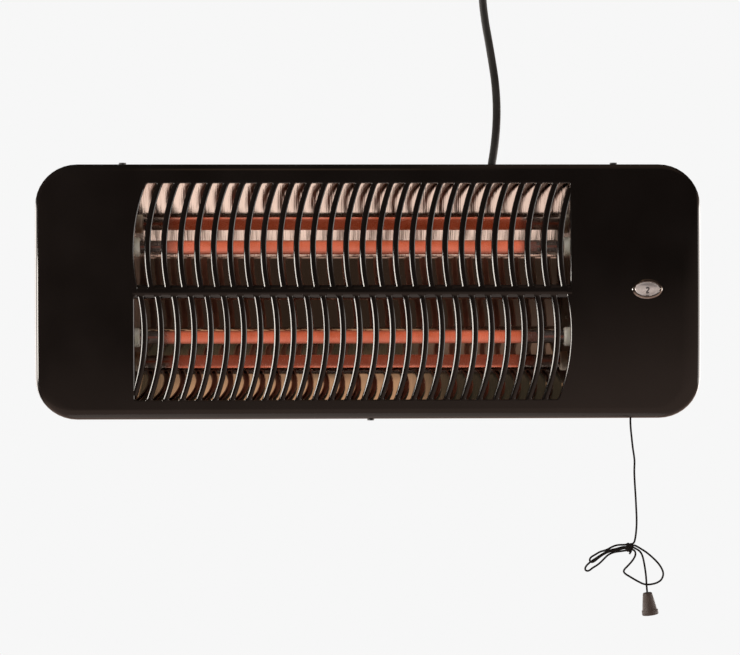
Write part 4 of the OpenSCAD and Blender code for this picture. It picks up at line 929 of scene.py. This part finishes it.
# How far a slat reaches past its window below, above and at the straight side, and how far
# the bar between the windows reaches past their sides
SLAT_BELOW, SLAT_ABOVE, SLAT_PAST, BAR_PAST = 1.5, 1.2, 3.5, 1.2
# How far the bar reaches into each window, and the size of its sloping edges
BAR_REACH, BAR_EDGE = 3.4, 3.7
# How far the turned-in lips reach across, and the depth of a slat's inner side
LIP, SLAT_INSIDE = 1.1, 2.0
# How far outside the sloping edge the front's flat and the sheet's back start, and how far
# behind the sheet the lip's inner side starts
FLAT_START, BACK_START, LIP_BEHIND = 0.3, 0.2, 0.9
# The eye: its middle, its opening's half sizes, those of the oval to whose angles the grid
# round it is read, and half the height of that grid
EYE = np.array([255.9, 1.7])
EYE_HOLE, EYE_PATCH = np.array([12.7, 7.7]), np.array([25.4, 15.4])
EYE_REACH = 15
SIDE_POINTS, LONG_POINTS, CORNER_POINTS = 40, 44, 10
# The rolled edge is tighter at the front's two ends: this share of its width
SIDE_SHARE = 0.5
# The turned-in edge of a slot as shares of its size: (inward from the opening, depth), from
# the lip over a steep flank to the flat
FLANK = np.array([[0, 0.9], [0.04, 0.74], [0.12, 0.62], [0.46, 0.364], [0.80, 0.108],
                  [0.90, 0.04], [1.0, 0.0]])
# Shares of the way from the windows to the edge; the eye lies between the fourth and the sixth
FLAT_SHARES = np.array([0.0, 0.12, 0.28, 0.44, 0.60, 0.76, 0.88, 1.0])
# The four quarters of an outline, from the upper right round to the lower right
QUARTERS = np.array([[1, 1], [-1, 1], [-1, -1], [1, -1]])


def crown(z, sizes):
    """The front's surface at height z: an arc of the crown's radius, foremost at z = 0."""
    radius = sizes.crown_radius
    return PANEL_LOW[1] + radius - np.sqrt(radius ** 2 - np.square(z))


def slat_line(z_mm, sizes):
    """How far right of its leftmost point a slat's bow lies at height z, in millimetres:
    R - sqrt(R^2 - (z - bow height)^2)."""
    radius = sizes.slat_bow / MM
    return radius - np.sqrt(radius ** 2 - np.square(z_mm - BOW_Z))


def spread(start, end, count):
    """count values or points from start, up to but not including end."""
    return np.linspace(start, end, count, endpoint=False)


def corner_arc(centre, radius, quarter):
    """The points of one quarter of a circle, up to but not including its last."""
    angle = np.radians(quarter * 90 + spread(0, 90, CORNER_POINTS))
    return centre + radius * np.stack([np.cos(angle), np.sin(angle)], 1)


def outer_ring(inset):
    """A rounded rectangle a distance inside the front's edge, in millimetres: straight runs
    and quarter circles of the corner's radius less the inset, from the lower right upwards."""
    half = np.array([PANEL_HIGH[0] - PANEL_LOW[0], PANEL_HIGH[2] - PANEL_LOW[2]]) / 2 / MM
    narrow = (half[0] - SIDE_SHARE * inset) / (half[0] - inset)
    corner = bpy.context.scene.heater_sizes.corner_radius / MM
    radius = corner - inset
    centres = (half - corner) * QUARTERS
    parts = []
    for quarter, centre in enumerate(centres):
        out = radius * np.array([(1, 0), (0, 1), (-1, 0), (0, -1)][quarter])
        count = LONG_POINTS if quarter % 2 else SIDE_POINTS
        parts.append(spread(centres[quarter - 1] + out, centre + out, count))
        parts.append(corner_arc(centre, radius, quarter))
    return np.concatenate(parts) * [narrow, 1]


def inner_ring(grow, sizes):
    """The outline round both windows, grown by a distance, in millimetres and with as many
    points as the outer ring. Each upright side is the slats' bow for one window and straight
    for the other, because the lower window is the upper one turned half a turn."""
    corner = WINDOW_CORNER + grow
    top, right = WINDOW_Z1 + grow, WINDOW_X1 + grow
    z = spread(corner - top, top - corner, SIDE_POINTS)
    bow = SLAT_X0 - grow + slat_line(np.abs(z), sizes)
    east = np.stack([np.where(z > 0, right, 2 * WINDOW_X - bow), z], 1)
    west = [2 * WINDOW_X, 0] - east
    bow_end = SLAT_X0 - grow + slat_line(WINDOW_Z1, sizes)
    edges = (right, bow_end, 2 * WINDOW_X - right, 2 * WINDOW_X - bow_end)
    corners = [corner_arc(np.array([edge, top * sign[1]]) - corner * sign, corner, quarter)
               for quarter, (edge, sign) in enumerate(zip(edges, QUARTERS))]
    # each long run starts at the last sample of the corner before it
    upper, lower = (
        spread((corners[first][-1, 0], level), (corners[first + 1][0, 0], level), LONG_POINTS)
        for first, level in ((0, top), (2, -top)))
    return np.concatenate(
        [east, corners[0], upper, corners[1], west, corners[2], lower, corners[3]])


def plate_layers(sizes):
    """The plate's closed section, ring after ring: (ring, depth behind the crown), both in
    millimetres, where no depth means the rim's back. It runs from the windows' lip over the
    front and the rolled edge to the rim's back, and returns inside the sheet."""
    sheet, edge = sizes.sheet / MM, sizes.edge_radius / MM
    lip, lip_depth = sizes.window_edge / MM, sizes.lip_depth / MM
    layers = [(inner_ring(LIP, sizes), lip_depth), (inner_ring(0, sizes), lip_depth)]
    layers += [(inner_ring(g * lip, sizes), d * lip) for g, d in FLANK]
    first, last = inner_ring(lip + FLAT_START, sizes), outer_ring(edge)
    layers += [(first + (last - first) * s, 0.0) for s in FLAT_SHARES]
    angles = np.radians(np.linspace(10, 90, 9))
    layers += [(outer_ring(edge * (1 - math.sin(a))), edge * (1 - math.cos(a))) for a in angles]
    layers += [(outer_ring(0), None), (outer_ring(sheet), None)]
    layers += [(outer_ring(edge - (edge - sheet) * math.sin(a)),
                edge - (edge - sheet) * math.cos(a)) for a in angles[::-2]]
    back = inner_ring(lip + BACK_START, sizes)
    layers += [(back + (last - back) * s, sheet) for s in FLAT_SHARES[::-1]]
    return layers + [(inner_ring(LIP, sizes), sheet + LIP_BEHIND)]


class HEATER_OT_front_panel(bpy.types.Operator):
    """Builds the crowned front with its windows, rolled lips, rim and the eye's opening"""

    bl_idname = "heater.front_panel"
    bl_label = "Front panel"

    def execute(self, context):
        sizes = context.scene.heater_sizes
        layers = plate_layers(sizes)
        rows, cols = len(layers), len(layers[0][0])
        grid = np.zeros((rows, cols, 3))
        for row, (ring, depth) in enumerate(layers):
            grid[row, :, ::2] = ring * MM
            surface_y = crown(grid[row, :, 2], sizes)
            grid[row, :, 1] = PANEL_HIGH[1] if depth is None else surface_y + depth * MM
        quads = grid_quads(rows, cols, wrap_rows=True, wrap_cols=True, flip=True)
        points, faces, rims = [grid.reshape(-1, 3)], [], []
        near_eye = np.where(np.abs(grid[0, :SIDE_POINTS, 2] / MM - EYE[1]) < EYE_REACH)[0]
        # the front's first flat row is the one after the lip and the flank; the sheet's back
        # has its rows the other way round, so its loop runs them backwards
        front, back = 2 + len(FLANK), rows - 1
        for r0, r1, depth in ((front + 3, front + 5, 0.0), (back - 4, back - 6, sizes.sheet)):
            loop, hidden = self.block(quads, cols, r0, r1, near_eye[0], near_eye[-1])
            quads = quads[~hidden]
            patch = self.eye_patch(points[0][loop], depth, sizes)
            start = sum(map(len, points))
            ids = np.concatenate([loop, start + np.arange(len(patch))])
            rings = len(ids) // len(loop)
            faces += ids[grid_quads(rings, len(loop), wrap_cols=True, flip=r1 < r0)].tolist()
            points.append(patch)
            rims.append(ids[-len(loop):])
        wall = np.stack([rims[0], np.roll(rims[0], -1), np.roll(rims[1], -1), rims[1]], axis=1)
        piece("front_panel_shell", np.concatenate(points), quads.tolist() + faces + wall.tolist(),
              "heater", finish_of(black_enamel), "black_enamel", ("front_panel",), outwards=True)
        return {"FINISHED"}

    def block(self, quads, cols, r0, r1, c0, c1):
        """The closed loop of grid points round rows r0 to r1 and columns c0 to c1, and which
        quads lie inside it."""
        rows = np.arange(r0, r1 + 1) if r1 > r0 else np.arange(r0, r1 - 1, -1)
        across = np.arange(c0, c1 + 1)
        loop = np.concatenate([r0 * cols + across[:-1], rows[:-1] * cols + c1,
                               r1 * cols + across[:0:-1], rows[:0:-1] * cols + c0])
        row, col = quads // cols, quads % cols
        inside = (row.min(1) >= min(r0, r1)) & (row.max(1) <= max(r0, r1))
        return loop, inside & (col.min(1) >= c0) & (col.max(1) <= c1)

    def eye_patch(self, loop, depth, sizes):
        """Rings from a loop of grid points to the eye's oval: each point moves on a straight
        line to the oval's point at its own angle, on the crowned surface."""
        across, up = ((loop[:, ::2] / MM - EYE) / EYE_PATCH).T
        angle = np.arctan2(up, across)
        oval = (EYE + EYE_HOLE * np.stack([np.cos(angle), np.sin(angle)], 1)) * MM
        shares = np.linspace(0, 1, 6)[1:, None, None]
        x, z = np.moveaxis(loop[None, :, ::2] * (1 - shares) + oval[None] * shares, -1, 0)
        return stacked(x, crown(z, sizes) + depth, z).reshape(-1, 3)


class HEATER_OT_slats(bpy.types.Operator):
    """Builds the bowed slats of both windows and the bar between the windows"""

    bl_idname = "heater.slats"
    bl_label = "Slats"

    def execute(self, context):
        sizes = context.scene.heater_sizes
        wide, narrow = sizes.slat_edge / MM, NARROW_SHARE * sizes.slat_edge / MM
        upper = self.slats(sizes, wide, narrow)
        # the lower window's slats are turned half a turn, so their edges change sides first
        lower = [([2 * WINDOW_X * MM, 0, 0] + points * [-1, 1, -1], faces)
                 for points, faces in self.slats(sizes, narrow, wide)]
        points, faces = joined(upper + lower + [self.divider(sizes)])
        piece("front_panel_slats", points, faces, "heater", finish_of(black_enamel),
              "black_enamel", ("front_panel",), outwards=True)
        return {"FINISHED"}

    def section(self, half, left_edge, right_edge, sizes):
        """A slat's closed section (across, depth) in millimetres: a flat top, a flank of the
        given size at each side and two turned-in lips."""
        depth, inner = sizes.lip_depth / MM, half - LIP
        left = FLANK * left_edge + [-half, 0]
        right = FLANK[::-1] * [-right_edge, right_edge] + [half, 0]
        lips = [[half, depth], [inner, depth], [inner, SLAT_INSIDE], [-inner, SLAT_INSIDE],
                [-inner, depth], [-half, depth]]
        return np.concatenate([left, right, lips])

    def slats(self, sizes, left_edge, right_edge):
        """Every slat carries its section up the bow x(z) = x0 + R - sqrt(R^2 - (z - zb)^2),
        cut off at the window's straight side, on the crowned surface. At its two ends it
        grows wider by r (1 - sin a) at the distance r (1 - cos a), which rounds the slots'
        corners. The edges' widths differ a little from slat to slat, as pressed."""
        pitch, slot = sizes.slot_pitch / MM, sizes.slot_width / MM
        half = (pitch - slot) / 2
        near, far = sizes.slot_corner / MM, FAR_SHARE * sizes.slot_corner / MM
        a = np.radians(np.linspace(0, 90, 7))
        straight = np.linspace(WINDOW_Z0 + near, WINDOW_Z1 - far, 30)[1:-1]
        z = np.concatenate([
            [WINDOW_Z0 - SLAT_BELOW], WINDOW_Z0 + near * (1 - np.cos(a)), straight,
            WINDOW_Z1 - far * (1 - np.cos(a[::-1])), [WINDOW_Z1 + SLAT_ABOVE]])
        wider = np.concatenate([[near], near * (1 - np.sin(a)), np.zeros(len(straight)),
                                far * (1 - np.sin(a[::-1])), [far]])
        parts = []
        for index in range(SLATS):
            vary = 1 + SLAT_VARIES * math.sin(7.3 * index)
            across, depth = self.section(half, left_edge * vary, right_edge * (2 - vary), sizes).T
            x = SLAT_X0 + index * pitch + slot + half + slat_line(z, sizes)
            ring = stacked((x[:, None] + across + wider[:, None] * np.sign(across)) * MM,
                           crown(z * MM, sizes)[:, None] + (depth + SLAT_SUNK) * MM,
                           z[:, None] * MM)
            parts.append(closed_run(ring[x + half < WINDOW_X1 + SLAT_PAST]))
        return parts

    def divider(self, sizes):
        """The bar between the windows: the section carried along the body."""
        height, depth = self.section(WINDOW_Z0 + BAR_REACH, BAR_EDGE, BAR_EDGE, sizes).T * MM
        x = np.linspace(WINDOW_X0 - BAR_PAST, WINDOW_X1 + BAR_PAST, 41)[:, None] * MM
        return closed_run(stacked(x, crown(height, sizes) + depth, height))


# ---------------------------------------------------------------- inside the windows

# In metres: the winding's outer radius, each straight leg's length and thickness, and how far
# the leg starts inside the end of the CAD coil
WINDING_RADIUS, LEG_LENGTH, LEG_WIDTH, LEG_INSET = 0.0046, 0.031, 0.002, 0.002


class HEATER_OT_elements(bpy.types.Operator):
    """Winds the two heating wires and finishes the tubes, their caps and studs"""

    bl_idname = "heater.elements"
    bl_label = "Heating elements"

    def execute(self, context):
        sizes = context.scene.heater_sizes
        for side in ("upper", "lower"):
            centre, low, high = middle(*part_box("heating_coil_" + side))
            start, end = low[0] + LEG_LENGTH, high[0] - LEG_LENGTH
            turns = round((end - start) / sizes.wire_pitch)
            radius = WINDING_RADIUS - sizes.wire / 2
            wound = helix([0, *centre[1:]], 0, radius, start, end, turns, 10)
            parts = [tube(wound, sizes.wire, 5, (1.0, 0.0, 0.0))[:2]]
            for first, last in ((low[0] + LEG_INSET, start), (end, high[0] - LEG_INSET)):
                leg = np.linspace([first, *centre[1:]], [last, *centre[1:]], 9)
                parts.append(tube(leg, LEG_WIDTH, 10)[:2])
            piece("heating_wire_" + side, *joined(parts), "heater", finish_of(glowing_wire),
                  "glowing_element", ("heating_coil_" + side,), crease=60)
        dress(finish_of(quartz_glass), "quartz_tube_upper", "quartz_tube_lower")
        dress(finish_of(steatite), "ceramic_caps_left", "ceramic_caps_right")
        dress(finish_of(brass_turned), "terminal_studs", "terminal_screws")
        return {"FINISHED"}


class HEATER_OT_reflectors(bpy.types.Operator):
    """Finishes the reflectors and the end plates"""

    bl_idname = "heater.reflectors"
    bl_label = "Reflectors"

    def execute(self, context):
        dress(finish_of(bright_aluminium), "reflector_upper", "reflector_lower")
        dress(finish_of(mill_aluminium), "end_plate_left", "end_plate_right")
        return {"FINISHED"}


# ---------------------------------------------------------------- the indicator

# The bezel's opening and the lens, as half sizes of ovals in millimetres
BEZEL, LENS = np.array([11.5, 6.5]), np.array([11.4, 6.4])
# The bezel's section: (distance outside its opening, distance behind the front), up a long
# quarter of an ellipse, over the crest near the opening and back to the neck
BEZEL_CREST, BEZEL_SLOPE, BEZEL_HEIGHT = 0.35, 2.35, 1.45
BEZEL_PROFILE = np.array([
    [BEZEL_CREST + reach * math.cos(a), -0.15 - BEZEL_HEIGHT * math.sin(a)]
    for reach, degrees in ((BEZEL_SLOPE, np.linspace(0, 90, 9)),
                           (BEZEL_CREST, np.linspace(90, 180, 6)[1:]))
    for a in np.radians(degrees)] + [[0.0, 2.4], [1.0, 2.4], [1.0, 0.02], [2.7, 0.02]])
# The lens's section, from the middle of its dome to the middle of its back: (distance outside
# its rim, distance behind the front)
LENS_PROFILE = np.array([
    [-11.172, -0.75], [-8, -0.72], [-5, -0.62], [-2.5, -0.42], [-0.6, -0.18], [-0.1, 0.3],
    [-0.1, 2.2], [-3, 2.2], [-11.172, 2.2]])
# The strokes of 0, 1 and 2 before they are scaled and shifted, half a stroke's width, the
# drum's faces, the ink's thickness and how far its middle lies off the drum
DIGITS = (
    (through([(1.5 * math.sin(a), 2.6 * math.cos(a)) for a in np.linspace(0, 2 * math.pi, 17)], 3),),
    (through([(0.2, -2.6), (0.2, 0), (0.2, 2.6)], 8),
     through([(0.2, 2.5), (-0.4, 1.9), (-1.1, 1.5)], 8)),
    (through([(-1.55, 1.5), (-1.1, 2.35), (0, 2.65), (1.15, 2.3), (1.5, 1.35), (1.05, 0.3),
              (0.1, -0.8), (-0.9, -1.8), (-1.5, -2.45)], 8),
     through([(-1.75, -2.55), (0, -2.55), (1.7, -2.55)], 8)),
)
DIGIT_SCALE, DIGIT_RIGHT, DIGIT_DOWN = 0.78, 1.4, 0.75
STROKE_HALF, DRUM_FACES, INK, OFF_DRUM = 0.62, 6, 0.06, 0.04


class HEATER_OT_indicator(bpy.types.Operator):
    """Builds the indicator's bezel, lens and numbers"""

    bl_idname = "heater.indicator"
    bl_label = "Indicator"

    def execute(self, context):
        bezel = self.ovals(BEZEL + BEZEL_PROFILE[:, :1], BEZEL_PROFILE[:, 1:])
        faces = grid_quads(*bezel.shape[:2], wrap_rows=True, wrap_cols=True).tolist()
        piece("window_bezel_ring", bezel.reshape(-1, 3), faces, "heater", finish_of(satin_chrome),
              "chrome", ("window_bezel",), outwards=True)
        share = 1 + LENS_PROFILE[:, :1] / LENS[0]
        lens = piece("indicator_lens_dome",
                     *closed_run(self.ovals(LENS * share, LENS_PROFILE[:, 1:])), "heater",
                     finish_of(clear_lens), "clear_lens", ("indicator_lens",), outwards=True)
        # light reaches the drum through the lens
        lens.visible_shadow = False
        self.numbers()
        dress(finish_of(silver_drum), "indicator_drum")
        dress(finish_of(zinc_steel), "drum_axle")
        return {"FINISHED"}

    def ovals(self, halves, behind):
        """Ovals round the eye, (a cos v, b sin v), each with its half sizes a and b and its
        distance behind the front's foremost point."""
        turn = circle(96)
        return stacked((EYE[0] + halves[:, :1] * np.cos(turn)) * MM, PANEL_LOW[1] + behind * MM,
                       (EYE[1] + halves[:, 1:] * np.sin(turn)) * MM)

    def numbers(self):
        """0, 1 and 2 twice round the drum: ribbons along each stroke, wrapped just off the
        drum by angle = height / radius."""
        axis, low, high = middle(*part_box("indicator_drum"))
        radius = (high[2] - low[2]) / 2 + OFF_DRUM * MM
        parts = []
        for position in range(DRUM_FACES):
            for line in DIGITS[(position + 2) % len(DIGITS)]:
                path = line * DIGIT_SCALE - [0, DIGIT_DOWN]
                direction = unit(np.gradient(path, axis=0))
                across = direction[:, ::-1] * [-STROKE_HALF, STROKE_HALF]
                flat = np.stack([path + across, path - across], axis=1) * MM
                angle = flat[..., 1] / radius + position * 2 * math.pi / DRUM_FACES
                wrapped = stacked((EYE[0] + DIGIT_RIGHT) * MM + flat[..., 0],
                                  axis[1] - radius * np.cos(angle),
                                  axis[2] + radius * np.sin(angle))
                parts.append((wrapped.reshape(-1, 3), grid_quads(len(path), 2).tolist()))
        digits = piece("drum_numbers", *joined(parts), "drum", finish_of(printed_ink),
                       "black_plastic", crease=60)
        film = digits.modifiers.new("film", "SOLIDIFY")
        film.thickness = INK * MM
        film.offset = 0


# ---------------------------------------------------------------- everything behind the front

# In metres: the sleeving's diameter, and the spring's radius and wire
SLEEVE, SPRING_RADIUS, SPRING_WIRE = 0.0026, 0.004, 0.0009
SPRING_TURNS = 7


class HEATER_OT_wiring(bpy.types.Operator):
    """Builds the inner lead, the sleeved wires and the return spring"""

    bl_idname = "heater.wiring"
    bl_label = "Wiring"

    def execute(self, context):
        tube_piece("inner_lead", through(INNER_LEAD, 6) * MM, context.scene.heater_sizes.lead,
                   "heater", finish_of(rubber_sheath), "black_rubber", ("internal_cable",), 16,
                   side=(0.0, 1.0, 0.1))
        wires = [tube(through(wire, 8) * MM, SLEEVE, 10, (0.31, 0.9, 0.29)) for wire in WIRES]
        points, faces = joined([wire[:2] for wire in wires])
        piece("sleeved_wires", points, faces, "heater", finish_of(glass_sleeving), "wire_sleeve",
              ("internal_wires",), crease=60, uv=np.concatenate([wire[2] for wire in wires]))
        (x, y, _), low, high = middle(*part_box("return_spring"))
        start, end = low[2] + SPRING_WIRE / 2, high[2] - SPRING_WIRE / 2
        coil = helix((x, y, 0), 2, SPRING_RADIUS, start, end, SPRING_TURNS, 24)
        spring = tube_piece("spring_wire", coil, SPRING_WIRE, "heater", finish_of(zinc_steel),
                            "zinc_steel", ("return_spring",), 8, side=(0.0, 0.0, 1.0))
        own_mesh(spring)
        return {"FINISHED"}


class HEATER_OT_metalwork(bpy.types.Operator):
    """Finishes the casing, the bracket, the fittings and the switch"""

    bl_idname = "heater.metalwork"
    bl_label = "Casing and fittings"

    def execute(self, context):
        dress(finish_of(powder_coat, "powder_coat_casing", "#232120", 0.5), "rear_casing")
        dress(finish_of(powder_coat, "powder_coat_bracket", "#2c2b2b", 0.42), "wall_bracket",
              "hinge_lugs", "casing_screws")
        dress(finish_of(zinc_steel), "lug_rivets", "pivot_bolts", "pivot_nuts", "clamp_screws",
              "thermal_cutout")
        dress(finish_of(rubber_moulded), "pivot_washers")
        dress(finish_of(moulded, "nylon_black", "#1b1a1a", 0.45), "cable_gland", "cord_eyelet",
              "switch_housing")
        dress(finish_of(moulded, "polyamide_natural", "#ddd7c6", 0.5, 1.53), "terminal_block",
              "cord_clamp", "switch_module", "pull_rod")
        return {"FINISHED"}


# ---------------------------------------------------------------- the add-on


STEPS = (
    HEATER_OT_stage, HEATER_OT_mains_lead, HEATER_OT_pull_cord, HEATER_OT_front_panel,
    HEATER_OT_slats, HEATER_OT_elements, HEATER_OT_reflectors, HEATER_OT_indicator,
    HEATER_OT_wiring, HEATER_OT_metalwork,
)


class HEATER_PT_build(bpy.types.Panel):
    """Lists the steps that build the heater's looks"""

    bl_idname = "HEATER_PT_build"
    bl_label = "Quartz bar heater"
    bl_space_type = "VIEW_3D"
    bl_region_type = "UI"
    bl_category = "Heater"

    def draw(self, context):
        for group in (context.scene.heater_sizes, context.scene.heater_colours):
            column = self.layout.column()
            for key in group.__annotations__:
                column.prop(group, key)
        for step in STEPS:
            self.layout.operator(step.bl_idname)


CLASSES = (HeaterSizes, HeaterColours, *STEPS, HEATER_PT_build)


def register():
    """Registers the classes and hangs the sizes and colours on the scene."""
    for kind in CLASSES:
        bpy.utils.register_class(kind)
    bpy.types.Scene.heater_sizes = bpy.props.PointerProperty(type=HeaterSizes)
    bpy.types.Scene.heater_colours = bpy.props.PointerProperty(type=HeaterColours)


def unregister():
    """Takes away what register added."""
    del bpy.types.Scene.heater_colours
    del bpy.types.Scene.heater_sizes
    for kind in reversed(CLASSES):
        bpy.utils.unregister_class(kind)


def main():
    """Builds everything in order."""
    register()
    bpy.ops.heater.stage()
    bpy.ops.heater.mains_lead()
    bpy.ops.heater.pull_cord()
    bpy.ops.heater.front_panel()
    bpy.ops.heater.slats()
    bpy.ops.heater.elements()
    bpy.ops.heater.reflectors()
    bpy.ops.heater.indicator()
    bpy.ops.heater.wiring()
    bpy.ops.heater.metalwork()


if __name__ == "__main__":
    main()
